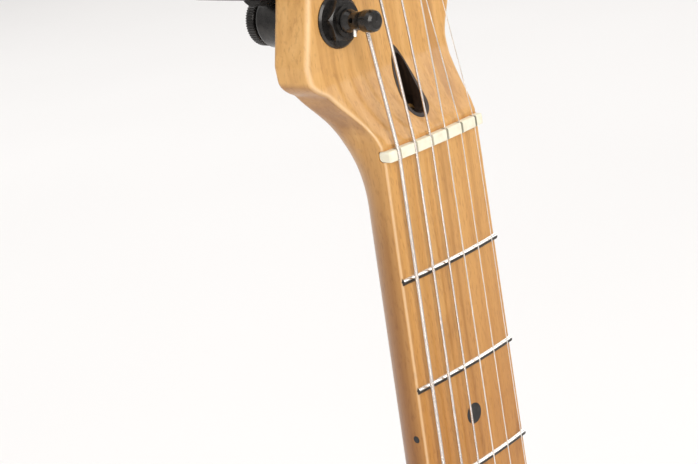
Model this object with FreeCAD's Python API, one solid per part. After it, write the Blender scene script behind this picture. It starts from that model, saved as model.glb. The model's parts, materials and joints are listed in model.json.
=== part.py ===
import FreeCAD, Part
import math
import os

# An electric guitar with a bolt-on maple neck, upright on its strings: +Z runs along the neck
# towards the headstock, the face looks along -Y and the treble side is +X. The origin is the
# middle of the neck's section at the front of the nut, where a neck yoke holds it.
# Places are given as (across, along, height): X, Z and the height above the fretboard's crown.

V = FreeCAD.Vector

# Driving dimensions, millimetres
SCALE = 647.7
FRET_COUNT = 21
CROWN_Y = -10.5
BOARD_RADIUS = 241.3
NUT_WIDTH = 42.8
HEEL_WIDTH = 56.0
NECK_END = 465.0
POCKET_START = 389.0
POCKET_DEPTH = 16.0
HEEL_THICKNESS = 24.0
NECK_THICKNESS = (21.0, 23.0)
BODY_FACE = -8.0
BODY_THICKNESS = 44.5
BODY_BACK = BODY_FACE - BODY_THICKNESS
BODY_ROUNDING = 5.0
NUT_THICKNESS = 3.4
FRET_WIDTH = 2.1
FRET_CROWN = 1.05
HEAD_FACE = -11.0
HEAD_BACK = -25.4
STRING_RADII = (0.62, 0.48, 0.36, 0.23, 0.18, 0.14)
NUT_SPREAD = 35.0
BRIDGE_SPREAD = 53.0
ACTION_NUT = 1.3
ACTION_TWELFTH = 3.1
COMPENSATION = (3.0, 2.0, 1.2, 2.2, 1.4, 0.4)
POST_LEAN = math.radians(14.0)
POST_FIRST = (-21.4, 41.65)
POST_PITCH = 25.3
POST_RADIUS = 3.0
POST_WAIST = 2.65
WORM_SHAFT = 2.0
POST_STRING_HEIGHTS = (-3.5, -4.3, -3.4, -2.0, -3.2, -3.2)
WORM_OFFSET = 8.5
WORM_HEIGHT = HEAD_BACK - 5.8
HOUSING_BACK = HEAD_BACK - 11.5
HOUSING_EAR = -10.2
HOUSING_EAR_HEIGHT = HEAD_BACK - 2.6
GUARD_THICKNESS = 2.3
PLATE_THICKNESS = 2.0
NECK_PLATE_THICKNESS = 2.0
BRIDGE_HOLE = 664.0
INTONATION_HEIGHT = 5.2
SADDLE_SCREW_HALF = 3.4
POLE_PITCH = 10.5
PICKUP_SCREW_HALF = 45.5
JACK_SCREW_LIFT = 12.4
JACK_PLATE_THICKNESS = 1.6
RUNNING = 0.05


# ---------------------------------------------------------------- helpers

def spot(across, along, height):
    """The point at this place on the guitar."""
    return V(across, CROWN_Y - height, along)


def block(across, along, height):
    """A box between two values on each of the three directions."""
    low = spot(min(across), min(along), max(height))
    size = (max(across) - min(across), max(height) - min(height), max(along) - min(along))
    return Part.makeBox(size[0], size[1], size[2], low)


def rod(radius, start, end):
    """A round bar from one point to another."""
    run = end.sub(start)
    return Part.makeCylinder(radius, run.Length, start, run)


def peg(radius, across, along, low, high):
    """A round bar that stands square to the face between two heights."""
    return rod(radius, spot(across, along, low), spot(across, along, high))


def plate(wire, low, high):
    """A flat piece: a closed outline at height zero, raised from low to high."""
    face = Part.Face(wire)
    face.translate(V(0, -low, 0))
    return face.extrude(V(0, low - high, 0))


def smooth_outline(points):
    """A closed curve through points (across, along)."""
    curve = Part.BSplineCurve()
    curve.interpolate([spot(x, z, 0) for x, z in points], PeriodicFlag=True)
    return Part.Wire(curve.toShape())


def straight_outline(points):
    """A closed polygon through points (across, along)."""
    corners = [spot(x, z, 0) for x, z in points]
    return Part.makePolygon(corners + corners[:1])


def oblong(left, right, half_length):
    """A rectangle between two values across and the same reach both ways along."""
    return straight_outline(((left, -half_length), (right, -half_length), (right, half_length),
                             (left, half_length)))


def racetrack(length, width):
    """A long outline across the guitar with round ends, centred on the origin."""
    half, end = length / 2 - width / 2, width / 2
    top = Part.makeLine(spot(-half, end, 0), spot(half, end, 0))
    right = Part.Arc(spot(half, end, 0), spot(half + end, 0, 0), spot(half, -end, 0)).toShape()
    bottom = Part.makeLine(spot(half, -end, 0), spot(-half, -end, 0))
    left = Part.Arc(spot(-half, -end, 0), spot(-half - end, 0, 0), spot(-half, end, 0)).toShape()
    return Part.Wire([top, right, bottom, left])


def turned(profile, base, axis):
    """A solid of revolution: (radius, distance along the axis) points, closed on the axis."""
    points = [V(r, 0, d) for r, d in profile]
    face = Part.Face(Part.makePolygon(points + points[:1]))
    solid = face.revolve(V(0, 0, 0), V(0, 0, 1), 360)
    solid.Placement = FreeCAD.Placement(base, FreeCAD.Rotation(V(0, 0, 1), axis))
    return solid


def fused(shapes):
    """Several shapes as one clean solid."""
    return shapes[0].multiFuse(shapes[1:]).removeSplitter()


def softened(shape, radius, wanted):
    """The shape with the edges picked by a test rounded, where that is possible."""
    edges = [edge for edge in shape.Edges if wanted(edge)]
    return shape.makeFillet(radius, edges) if edges else shape


def height_of(edge):
    """The height of a level edge above the crown, or None where it isn't level."""
    box = edge.BoundBox
    return CROWN_Y - box.YMax if box.YLength < 1e-4 else None


def wood_screw(head_radius, shank_radius, length, seat, inward):
    """A domed cross-head screw whose head's underside sits at seat."""
    dome = head_radius * 0.55
    profile = [(0, -dome), (head_radius * 0.55, -dome * 0.88), (head_radius * 0.9, -dome * 0.45)]
    profile += [(head_radius, 0), (shank_radius, 0), (shank_radius, length * 0.8), (0, length)]
    screw = turned(profile, seat, inward)
    slot_width, slot_length = head_radius * 0.24, head_radius * 1.1
    for size in ((slot_length, slot_width), (slot_width, slot_length)):
        cross = Part.makeBox(size[0], size[1], dome * 0.9, V(-size[0] / 2, -size[1] / 2, -dome * 1.3))
        cross.Placement = FreeCAD.Placement(seat, FreeCAD.Rotation(V(0, 0, 1), inward)).multiply(
            cross.Placement)
        screw = screw.cut(cross)
    return screw


def fret_distance(number):
    """How far below the nut a fret stands."""
    return SCALE * (1 - 2 ** (-number / 12))


def half_width(distance):
    """Half the fretboard's width at a distance below the nut."""
    return (NUT_WIDTH + (HEEL_WIDTH - NUT_WIDTH) * distance / NECK_END) / 2


def string_across(index, distance):
    """Where a string runs across the board at a distance below the nut."""
    spread = NUT_SPREAD + (BRIDGE_SPREAD - NUT_SPREAD) * distance / SCALE
    return spread * (index / 5 - 0.5)


def string_height(index, distance):
    """The height of a string's centre line over the crown at a distance below the nut."""
    rise = (ACTION_TWELFTH - ACTION_NUT) * distance / (SCALE / 2)
    fall = string_across(index, distance) ** 2 / (2 * BOARD_RADIUS)
    return ACTION_NUT + rise + STRING_RADII[index] - fall


def board_cylinder(extra, low, high):
    """The round bar whose surface is the curved face of the fretboard, plus an extra height."""
    axis_height = -BOARD_RADIUS
    return rod(BOARD_RADIUS + extra, spot(0, low, axis_height), spot(0, high, axis_height))


def group(solids):
    """Several separate solids as one shape."""
    return Part.makeCompound(solids)


# ---------------------------------------------------------------- neck

def blend_section(along, left, right, slab_back, corner, share):
    """A section between the neck's round back (share 0) and a flat back (share 1)."""
    middle, half, side = (left + right) / 2, (right - left) / 2, 5.0
    thickness = NECK_THICKNESS[0] + (NECK_THICKNESS[1] - NECK_THICKNESS[0]) * max(-along, 0) / POCKET_START
    depth = thickness - side
    radius = (half ** 2 + depth ** 2) / (2 * depth)
    points = []
    for step in range(BACK_POINTS):
        across = half * math.sin(math.pi * (step / (BACK_POINTS - 1) - 0.5))
        round_back = radius - thickness - math.sqrt(radius ** 2 - across ** 2)
        into_corner = max(corner - (half - abs(across)), 0)
        flat_back = slab_back + corner - math.sqrt(max(corner ** 2 - into_corner ** 2, 0))
        points.append(spot(middle + across, along, round_back + (flat_back - round_back) * share))
    back = Part.BSplineCurve()
    back.interpolate(points)
    top_left, top_right = spot(left, along, 1), spot(right, along, 1)
    edges = [Part.makeLine(top_left, points[0]), back.toShape(), Part.makeLine(points[-1], top_right),
             Part.makeLine(top_right, top_left)]
    return Part.Wire(edges)


BACK_POINTS = 25
SHOULDER = ((-14, -21.6, 21.6, 18.0, 0.0), (-7, -21.5, 21.5, 16.0, 0.03), (0, -21.4, 21.4, 13.0, 0.2),
            (6, -21.9, 21.8, 10.0, 0.48), (12, -24.4, 22.5, 7.0, 0.78), (18, -28.4, 23.2, 4.5, 0.97),
            (23, -31.7, 23.4, 4.0, 1.0))
RAMP_CHEEKS = ((-29.8, 21.5), (-33.4, 29.5), (22.2, 29.5), (21.3, 21.5))
HEEL_BLEND = ((340, 14.0, 0.0), (352, 11.0, 0.2), (364, 8.0, 0.55), (376, 5.0, 0.88), (386.5, 3.5, 1.0))
HIDDEN_STEP = 0.12
HEAD_BASS = ((-31.9, 22), (-35.2, 26.2), (-36.5, 31.4))
HEAD_TREBLE = ((23.6, 22), (25.2, 30.4), (28.2, 38), (32.8, 50), (35.2, 66), (33.5, 92),
               (29.5, 125), (28.0, 150), (24.5, 172), (15.5, 185), (4.5, 183))
HEAD_BASS_END = (-1.2, 173)


def headstock_blank():
    """The flat headstock from its shoulders to its tip, with rounded edges."""
    lower = Part.BSplineCurve()
    lower.interpolate([spot(x, z, 0) for x, z in HEAD_BASS])
    treble = Part.BSplineCurve()
    treble.interpolate([spot(x, z, 0) for x, z in HEAD_TREBLE + (HEAD_BASS_END,)])
    edges = [lower.toShape(),
             Part.makeLine(spot(*HEAD_BASS[-1], 0), spot(*HEAD_BASS_END, 0)),
             treble.toShape(),
             Part.makeLine(spot(*HEAD_TREBLE[0], 0), spot(*HEAD_BASS[0], 0))]
    blank = plate(Part.Wire(Part.__sortEdges__(edges)), HEAD_BACK, HEAD_FACE)
    start = min(HEAD_BASS[0][1], HEAD_TREBLE[0][1])

    def rim(edge):
        return height_of(edge) is not None and edge.BoundBox.ZMax > start + 0.5
    return softened(blank, 2.0, rim)


def ramp_tool():
    """What is cut away above the curved ramp between the nut and the headstock's face."""
    start, foot, end = spot(-60, 5.0, -0.6), spot(-60, 15.0, -6.7), spot(-60, 29.0, HEAD_FACE)
    arc = Part.Arc(start, foot, end).toShape()
    far, high, near = spot(-60, 60, HEAD_FACE), spot(-60, 60, 6), spot(-60, 5.0, 6)
    lines = [Part.makeLine(end, far), Part.makeLine(far, high), Part.makeLine(high, near),
             Part.makeLine(near, start)]
    profile = Part.Face(Part.Wire([arc] + lines))
    return profile.extrude(V(120, 0, 0))


def shelf_tool():
    """The thin layer removed behind the nut."""
    return block((-60, 60), (NUT_THICKNESS, 6.0), (-0.6, 6))


def teardrop(margin):
    """Outline of the truss-rod opening: round at the nut end, pointed towards the tip."""
    radius = 4.6 - margin
    tip = 29.5 - 2.2 * margin
    centre = 12.5
    left, right = spot(-radius, centre + 0.6, 0), spot(radius, centre + 0.6, 0)
    round_end = Part.Arc(left, spot(0, centre - radius, 0), right).toShape()
    sides = []
    for sign, start in ((1, right), (-1, left)):
        curve = Part.BezierCurve()
        curve.setPoles([start, spot(sign * radius, 19, 0), spot(sign * 2.4, 27, 0), spot(0, tip, 0)])
        sides.append(curve.toShape())
    return Part.Wire([round_end, sides[0], sides[1]])


TRUSS_HEIGHT = -11.5
TRUSS_RADIUS = 2.4
TRUSS_BORE = 3.9


def make_truss_liner(ramp):
    """A walnut tube of teardrop section that lines the opening."""
    liner = plate(teardrop(0), -15.5, 0).cut(plate(teardrop(1.1), -14.4, 1))
    mouth = rod(TRUSS_BORE, spot(0, -2, TRUSS_HEIGHT), spot(0, 13, TRUSS_HEIGHT))
    return liner.cut(ramp).cut(mouth)


def stripe_blank():
    """The walnut strip let into the back of the neck behind the truss rod."""
    return block((-3.2, 3.2), (-438, -22), (TRUSS_HEIGHT - TRUSS_RADIUS - 0.6, -26))


def shoulder_wires():
    """The sections of the blend from the round neck to the headstock."""
    return [blend_section(along, left, right, HEAD_BACK + HIDDEN_STEP, corner, share)
            for along, left, right, corner, share in SHOULDER]


def shaft_and_heel():
    """The neck below the nut: its round shaft, the blend and the flat heel."""
    blend = []
    for along, corner, share in HEEL_BLEND:
        half = half_width(along) - HIDDEN_STEP * share
        blend.append(blend_section(-along, -half, half, HIDDEN_STEP - HEEL_THICKNESS, corner, share))
    shaft = Part.makeLoft([blend[0], shoulder_wires()[0]], True, True)
    half, start = half_width(HEEL_BLEND[-1][0]), 1.0 - HEEL_BLEND[-1][0]
    heel_half = half_width(NECK_END)
    heel = plate(straight_outline(((-half, start), (half, start), (heel_half, -NECK_END),
                                   (-heel_half, -NECK_END))), -HEEL_THICKNESS, 1)
    heel = softened(heel, 6.0, lambda edge: edge.BoundBox.YLength > 20 and edge.BoundBox.ZMax < -460)
    return fused([shaft, Part.makeLoft(blend, True, False), heel])


def make_neck(ramp, frets, dots):
    """The one-piece maple neck with its headstock."""
    shoulder = Part.makeLoft(shoulder_wires(), True, False)
    cheeks = plate(straight_outline(RAMP_CHEEKS), HEAD_FACE - 1, HEAD_FACE + 1.6)
    blank = fused([shaft_and_heel(), shoulder, cheeks, headstock_blank()])
    blank = blank.common(board_cylinder(0, -NECK_END - 5, 200))
    blank = blank.cut(ramp).cut(shelf_tool())
    blank = blank.cut(block((-30, 30), (0, NUT_THICKNESS), (-3.2, 5)))
    blank = blank.cut(plate(teardrop(0), -15.5, 0))
    blank = blank.cut(rod(TRUSS_RADIUS + RUNNING, spot(0, -440, TRUSS_HEIGHT), spot(0, 10, TRUSS_HEIGHT)))
    blank = blank.cut(rod(TRUSS_BORE, spot(0, -14, TRUSS_HEIGHT), spot(0, 10, TRUSS_HEIGHT)))
    blank = blank.cut(stripe_blank())
    for index in range(6):
        across, along = post_place(index)
        blank = blank.cut(peg(5.2, across, along, HEAD_BACK - 2, HEAD_FACE + 2))
    return blank.cut(frets).cut(dots)


def make_stripe():
    """The walnut strip, trimmed flush with the round back of the neck."""
    return stripe_blank().common(shaft_and_heel())


def make_truss_rod():
    """The steel rod that the nut at the headstock pulls."""
    return rod(TRUSS_RADIUS, spot(0, -436, TRUSS_HEIGHT), spot(0, -3, TRUSS_HEIGHT))


def make_truss_nut():
    """A round nut with a hex socket that tightens the truss rod."""
    outer = rod(3.8, spot(0, -3.2, TRUSS_HEIGHT), spot(0, 9.4, TRUSS_HEIGHT))
    outer = outer.cut(rod(TRUSS_RADIUS + RUNNING, spot(0, -4, TRUSS_HEIGHT), spot(0, -2.9, TRUSS_HEIGHT)))
    key = 1.83
    hexagon = [spot(key * math.cos(math.radians(a)), 9.5, TRUSS_HEIGHT + key * math.sin(math.radians(a)))
               for a in range(0, 360, 60)]
    socket = Part.Face(Part.makePolygon(hexagon + hexagon[:1])).extrude(V(0, 0, -6))
    return outer.cut(socket)


def make_nut():
    """The string nut with its six slots and rounded ends."""
    half = NUT_WIDTH / 2 - 0.05
    blank = block((-half, half), (0, NUT_THICKNESS), (-3.2, 3.2))
    blank = blank.common(board_cylinder(2.2, -1, NUT_THICKNESS + 1))
    blank = softened(blank, 0.8, lambda edge: edge.BoundBox.XLength > 30
                     and CROWN_Y - edge.BoundBox.YMin > 1.0)
    for index, radius in enumerate(STRING_RADII):
        bottom = string_height(index, 0)
        across = string_across(index, 0)
        slot = rod(radius + 0.02, spot(across, -1, bottom), spot(across, 5, bottom - 0.35))
        throat = block((across - radius, across + radius), (-1, 5), (bottom, 4))
        blank = blank.cut(slot).cut(throat)
    return blank


def make_fret(number):
    """One fret wire, bent to the board's curve, with its tang."""
    distance = fret_distance(number)
    angle = math.degrees(math.asin((half_width(distance) - 0.15) / BOARD_RADIUS))
    half, tang = FRET_WIDTH / 2, 0.28
    lift = BOARD_RADIUS
    crown = Part.Arc(V(0, lift, half), V(0, lift + FRET_CROWN, 0), V(0, lift, -half)).toShape()
    corners = [V(0, lift, -half), V(0, lift, -tang), V(0, lift - 1.6, -tang),
               V(0, lift - 1.6, tang), V(0, lift, tang), V(0, lift, half)]
    lines = [Part.makeLine(a, b) for a, b in zip(corners, corners[1:])]
    face = Part.Face(Part.Wire([crown] + lines))
    face.rotate(V(0, 0, 0), V(0, 0, 1), 180 - angle)
    wire = face.revolve(V(0, 0, 0), V(0, 0, 1), 2 * angle)
    wire.translate(spot(0, -distance, -BOARD_RADIUS))
    return wire


def make_frets():
    """All the frets."""
    return group([make_fret(number) for number in range(1, FRET_COUNT + 1)])


def make_dots():
    """Face dots and side dots at the usual frets."""
    dots = []
    for number in (3, 5, 7, 9, 12, 15, 17, 19, 21):
        middle = -(fret_distance(number) + fret_distance(number - 1)) / 2
        places = (-13.5, 13.5) if number == 12 else (0.0,)
        for across in places:
            dots.append(peg(3.3, across, middle, -2.2, 1).common(board_cylinder(0, -500, 0)))
        edge = half_width(-middle)
        for shift in ((-4, 4) if number == 12 else (0,)):
            dots.append(rod(1.15, spot(-edge - 0.02, middle + shift, -4.2),
                            spot(-edge + 2.4, middle + shift, -4.2)))
    return group(dots)


# ---------------------------------------------------------------- tuners

def post_place(index):
    """Where a tuner's post stands: across and along."""
    return (POST_FIRST[0] + index * POST_PITCH * math.sin(POST_LEAN),
            POST_FIRST[1] + index * POST_PITCH * math.cos(POST_LEAN))


OUTWARD = V(-math.cos(POST_LEAN), 0, math.sin(POST_LEAN))
TIPWARD = V(math.sin(POST_LEAN), 0, math.cos(POST_LEAN))


def near_post(index, out, tip, height):
    """A point beside a post: out towards the edge, on towards the tip, at a height."""
    across, along = post_place(index)
    return spot(across, along, height).add(OUTWARD * out).add(TIPWARD * tip)


def upright(index, radius, out, tip, low, high):
    """A round bar beside a post, square to the face."""
    return rod(radius, near_post(index, out, tip, low), near_post(index, out, tip, high))


def make_housing(index):
    """The die-cast gear case behind the headstock, hollow for its worm and gear."""
    case = upright(index, 8.2, 0, 0, HOUSING_BACK, HEAD_BACK)
    case = softened(case, 1.2, lambda edge: height_of(edge) is not None
                    and height_of(edge) < HOUSING_BACK + 0.1)
    barrel = rod(4.8, near_post(index, -7.5, WORM_OFFSET, WORM_HEIGHT),
                 near_post(index, 14.5, WORM_OFFSET, WORM_HEIGHT))
    ear = upright(index, 3.4, HOUSING_EAR, 0, HOUSING_EAR_HEIGHT, HEAD_BACK)
    bridge = upright(index, 3.2, HOUSING_EAR + 3.0, 0, HOUSING_EAR_HEIGHT, HEAD_BACK)
    above_wood = block((-100, 100), (0, 200), (HEAD_BACK, HEAD_BACK + 30))
    case = fused([case, barrel, ear, bridge]).cut(above_wood)
    case = case.cut(upright(index, 6.1, 0, 0, HOUSING_BACK + 1.6, HEAD_BACK - 1.2))
    case = case.cut(rod(2.9, near_post(index, -5.6, WORM_OFFSET, WORM_HEIGHT),
                        near_post(index, 6.5, WORM_OFFSET, WORM_HEIGHT)))
    case = case.cut(rod(WORM_SHAFT + RUNNING, near_post(index, 6.0, WORM_OFFSET, WORM_HEIGHT),
                        near_post(index, 16.0, WORM_OFFSET, WORM_HEIGHT)))
    case = case.cut(upright(index, POST_RADIUS + RUNNING, 0, 0, HOUSING_BACK - 1, HEAD_BACK + 1))
    return case.cut(upright(index, 1.1, HOUSING_EAR, 0, HEAD_BACK - 4, HEAD_BACK + 1))


def make_bushing(index):
    """The threaded hex nut that pulls the tuner into the headstock, with its sleeve."""
    top = HEAD_FACE + 3.4
    centre = near_post(index, 0, 0, HEAD_FACE + 0.9)
    corners = [centre.add(OUTWARD * (6.5 * math.cos(math.radians(a)))).add(
        TIPWARD * (6.5 * math.sin(math.radians(a)))) for a in range(0, 360, 60)]
    nut = Part.Face(Part.makePolygon(corners + corners[:1])).extrude(V(0, -2.5, 0))
    bevel = turned(((0, 0), (6.6, 0), (6.6, 1.7), (5.5, 2.5), (0, 2.5)), centre, V(0, -1, 0))
    collar = upright(index, 4.7, 0, 0, HEAD_FACE + 0.9, top + 0.7)
    sleeve = upright(index, 4.9, 0, 0, HEAD_BACK + 0.5, HEAD_FACE + 0.9)
    solid = fused([nut.common(bevel), collar, sleeve])
    return solid.cut(upright(index, POST_RADIUS + RUNNING, 0, 0, HEAD_BACK - 1, top + 3))


def make_washer(index):
    """The flat dished washer under a bushing."""
    profile = ((4.95, 0), (8.0, 0), (8.0, 0.4), (7.4, 0.88), (4.95, 0.88))
    return turned(profile, near_post(index, 0, 0, HEAD_FACE), V(0, -1, 0))


def make_post(index):
    """The string post with its gear: a cone, a waist for the string and a domed head."""
    base = near_post(index, 0, 0, HEAD_BACK - 9.6)
    face = HEAD_FACE - (HEAD_BACK - 9.6)
    profile = [(0, 0), (5.8, 0), (5.8, 7.6), (2.98, 7.9), (2.98, face + 4.2), (3.5, face + 4.4),
               (3.35, face + 5.0), (2.9, face + 5.9), (POST_WAIST, face + 6.5), (POST_WAIST, face + 8.9),
               (2.85, face + 9.8), (3.2, face + 10.9), (3.25, face + 13.4), (2.95, face + 14.5),
               (2.2, face + 15.1), (0, face + 15.2)]
    post = turned(profile, base, V(0, -1, 0))
    hole = rod(0.8, near_post(index, -5, 0, HEAD_FACE + 7.5), near_post(index, 5, 0, HEAD_FACE + 7.5))
    bore = rod(WORM_SHAFT + RUNNING, base, base.add(V(0, -8.0, 0)))
    return post.cut(hole).cut(bore)


def make_button(index):
    """The worm shaft with its oval button."""
    def shaft_piece(radius, start, end):
        return rod(radius, near_post(index, start, WORM_OFFSET, WORM_HEIGHT),
                   near_post(index, end, WORM_OFFSET, WORM_HEIGHT))
    worm = shaft_piece(2.55, -5.0, 5.8)
    shaft = shaft_piece(WORM_SHAFT, 5.8, 24)
    collar = shaft_piece(3.3, 14.9, 19.5)
    half_long, half_wide, half_thick = 8.0, 9.2, 3.5
    middle = near_post(index, 19.0 + half_long, WORM_OFFSET, WORM_HEIGHT).add(TIPWARD * -half_thick)
    oval = Part.Ellipse(V(0, 0, 0), half_wide, half_long).toShape()
    paddle = Part.Face(Part.Wire(oval)).extrude(V(0, 0, 2 * half_thick))
    axes = FreeCAD.Rotation(V(0, 1, 0), OUTWARD, TIPWARD, "ZXY")
    paddle.Placement = FreeCAD.Placement(middle, axes)
    paddle = paddle.makeFillet(2.4, paddle.Edges)
    return fused([worm, shaft, collar, paddle])


def make_wheel(index):
    """The knurled locking wheel on the back of the gear case, with its screw inside the post."""
    top = near_post(index, 0, 0, HOUSING_BACK - 0.4)
    profile = ((0, -9.0), (WORM_SHAFT, -9.0), (WORM_SHAFT, 0), (6.2, 0), (6.2, 0.7), (7.4, 0.9), (7.7, 1.3),
               (7.7, 3.9), (7.2, 4.4), (0, 4.4))
    wheel = turned(profile, top, V(0, 1, 0))
    flutes = []
    for step in range(24):
        angle = math.radians(step * 15)
        out, tip = 8.15 * math.cos(angle), 8.15 * math.sin(angle)
        flutes.append(upright(index, 0.75, out, tip, HOUSING_BACK - 5.5, HOUSING_BACK - 1.1))
    return wheel.cut(group(flutes))


def make_headstock_screws():
    """One small screw for each gear case and one for the string tree."""
    screws = []
    for index in range(6):
        seat = near_post(index, HOUSING_EAR, 0, HOUSING_EAR_HEIGHT)
        screws.append(wood_screw(2.1, 1.05, 9.0, seat, V(0, -1, 0)))
    screws.append(wood_screw(2.3, 1.05, 11.0, spot(TREE[0], TREE[1], HEAD_FACE + 4.1), V(0, 1, 0)))
    return screws


TREE = (12.0, 75.0)


def make_tree():
    """The string tree: a folded wing that holds the two thin strings down, on a short stem."""
    wings = block((TREE[0] - 5.8, TREE[0] + 5.8), (TREE[1] - 3, TREE[1] + 3), (2.95, 4.1))
    wings = softened(wings, 1.0, lambda edge: edge.BoundBox.YLength > 1.0)
    stem = peg(1.9, TREE[0], TREE[1], 0, 3.0)
    tree = fused([wings, stem])
    tree.translate(V(0, -HEAD_FACE, 0))
    return tree.cut(peg(1.08, TREE[0], TREE[1], HEAD_FACE - 1, HEAD_FACE + 5))


# ---------------------------------------------------------------- strings and bridge

def string_path(index):
    """The corners of one string, from its ball in the body's back to its post."""
    radius = STRING_RADII[index]
    crest = SCALE + COMPENSATION[index]
    at_bridge = string_across(index, SCALE)
    post_x, post_z = post_place(index)
    side = POST_WAIST + radius + 0.12
    path = [spot(at_bridge, -BRIDGE_HOLE, BODY_BACK + 6.0),
            spot(at_bridge, -BRIDGE_HOLE, BODY_FACE + PLATE_THICKNESS + 1.2),
            spot(at_bridge, -crest, string_height(index, SCALE)),
            spot(string_across(index, 0), 0.6, string_height(index, 0)),
            spot(string_across(index, 0), NUT_THICKNESS - 0.4, string_height(index, 0) - 0.12)]
    end = spot(post_x + side, post_z - 3.0, POST_STRING_HEIGHTS[index])
    if index >= 4:
        start_x, start_z = string_across(index, 0), NUT_THICKNESS
        share = (TREE[1] - start_z) / (post_z - start_z)
        path.append(spot(start_x + (end.x - start_x) * share, TREE[1], HEAD_FACE + 2.45 - radius))
    path.append(end)
    return path


def bent_wire(path, bend_radius, least_turn):
    """Straight runs through the path's points, with an arc at each turn above the least one."""
    edges = []
    start = path[0]
    for before, corner, after in zip(path, path[1:], path[2:]):
        arriving = corner.sub(before).normalize()
        leaving = after.sub(corner).normalize()
        turn = arriving.getAngle(leaving)
        if turn < least_turn:
            edges.append(Part.makeLine(start, corner))
            start = corner
            continue
        trim = bend_radius * math.tan(turn / 2)
        first, last = corner.sub(arriving * trim), corner.add(leaving * trim)
        inward = leaving.sub(arriving).normalize()
        middle = corner.add(inward * (bend_radius / math.cos(turn / 2) - bend_radius))
        edges.append(Part.makeLine(start, first))
        edges.append(Part.Arc(first, middle, last).toShape())
        start = last
    edges.append(Part.makeLine(start, path[-1]))
    return Part.Wire(edges)


def make_string(index):
    """One string with its ball end."""
    radius = STRING_RADII[index]
    path = string_path(index)
    ring = Part.Wire(Part.makeCircle(radius, path[0], path[1].sub(path[0])))
    mitred = 1
    wire = bent_wire(path, 1.6, math.radians(9)).makePipeShell([ring], True, False, mitred)
    ball = rod(1.9, path[0].add(V(0, 1.8, 0)), path[0].add(V(0, -1.8, 0)))
    return fused([wire, ball])


def make_ferrules():
    """Steel cups in the body's back that hold the string balls, flush with the wood."""
    cups = []
    for index in range(6):
        across = string_across(index, SCALE)
        cup = peg(4.0, across, -BRIDGE_HOLE, BODY_BACK, BODY_BACK + 9.0)
        cup = cup.cut(peg(2.1, across, -BRIDGE_HOLE, BODY_BACK - 1, BODY_BACK + 7.85))
        cups.append(cup.cut(peg(0.9, across, -BRIDGE_HOLE, BODY_BACK, BODY_BACK + 10)))
    return cups


BRIDGE_FRONT = 634.0
BRIDGE_REAR = 688.0
BRIDGE_HALF = 41.0
SADDLE_REAR = 20.5


def bridge_screw_places():
    """Five screws along the front of the bridge plate."""
    return [(-34 + 17 * step, -BRIDGE_FRONT - 4.2) for step in range(5)]


def make_bridge_plate():
    """The fixed bridge: a flat plate with a lip at the rear for the intonation screws."""
    top = BODY_FACE + PLATE_THICKNESS
    base = block((-BRIDGE_HALF, BRIDGE_HALF), (-BRIDGE_REAR, -BRIDGE_FRONT), (BODY_FACE, top))
    lip = block((-BRIDGE_HALF, BRIDGE_HALF), (-BRIDGE_REAR, -BRIDGE_REAR + 2), (BODY_FACE, top + 8.5))
    solid = fused([base, lip])
    solid = softened(solid, 3.0, lambda edge: edge.BoundBox.YLength > 1.9 and edge.BoundBox.ZMin > -640)
    for index in range(6):
        across = string_across(index, SCALE)
        solid = solid.cut(peg(1.5, across, -BRIDGE_HOLE, BODY_FACE - 1, top + 1))
        solid = solid.cut(rod(1.3, spot(across, -BRIDGE_REAR - 1, top + INTONATION_HEIGHT),
                              spot(across, -BRIDGE_REAR + 3, top + INTONATION_HEIGHT)))
    for across, along in bridge_screw_places():
        solid = solid.cut(peg(1.8, across, along, BODY_FACE - 1, top + 1))
    return solid


def make_saddle(index):
    """A bent-steel saddle: round crest, slotted top, rear wall for the intonation screw."""
    across = string_across(index, SCALE)
    crest = SCALE + COMPENSATION[index]
    top = string_height(index, SCALE) - STRING_RADII[index] - 0.08
    floor = BODY_FACE + PLATE_THICKNESS
    half = 4.9
    wall = 1.7
    front, rear = -crest + 3.0, -crest - SADDLE_REAR
    left = across - half
    start = spot(left, front, top - 3.4)
    crown = spot(left, -crest, top)
    shoulder = spot(left, -crest + 2.2, top - 1.0)
    nose = Part.Arc(start, shoulder, crown).toShape()
    corners = [crown, spot(left, rear, top - 0.9), spot(left, rear, floor + 0.3),
               spot(left, rear + wall, floor + 0.3), spot(left, rear + wall, top - 0.9 - wall),
               spot(left, front - 1.6, top - 0.7 - wall), spot(left, front - 1.6, top - 3.4), start]
    lines = [Part.makeLine(a, b) for a, b in zip(corners, corners[1:])]
    solid = Part.Face(Part.Wire([nose] + lines)).extrude(V(2 * half, 0, 0))
    solid = solid.cut(block((across - 1.6, across + 1.6), (rear + wall + 0.6, -crest - 0.9),
                            (floor, top + 1)))
    behind, over = string_path(index)[1:3]
    solid = solid.cut(rod(STRING_RADII[index] + 0.03, behind, over))
    solid = solid.cut(rod(1.3, spot(across, rear - 1, floor + INTONATION_HEIGHT),
                          spot(across, rear + 3, floor + INTONATION_HEIGHT)))
    for side in (-SADDLE_SCREW_HALF, SADDLE_SCREW_HALF):
        solid = solid.cut(peg(1.22, across + side, -crest - 2.0, floor, top + 1))
    return solid


def make_saddle_screws():
    """Intonation screws through the rear lip and two height screws in each saddle."""
    screws = []
    floor = BODY_FACE + PLATE_THICKNESS
    for index in range(6):
        across = string_across(index, SCALE)
        crest = SCALE + COMPENSATION[index]
        top = string_height(index, SCALE) - STRING_RADII[index]
        seat = spot(across, -BRIDGE_REAR, floor + INTONATION_HEIGHT)
        reach = BRIDGE_REAR - crest - SADDLE_REAR + 2.9
        screws.append(wood_screw(2.4, 1.25, reach, seat, V(0, 0, 1)))
        for side in (-SADDLE_SCREW_HALF, SADDLE_SCREW_HALF):
            screws.append(peg(1.2, across + side, -crest - 2.0, floor, top + 0.6))
    return screws


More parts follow.
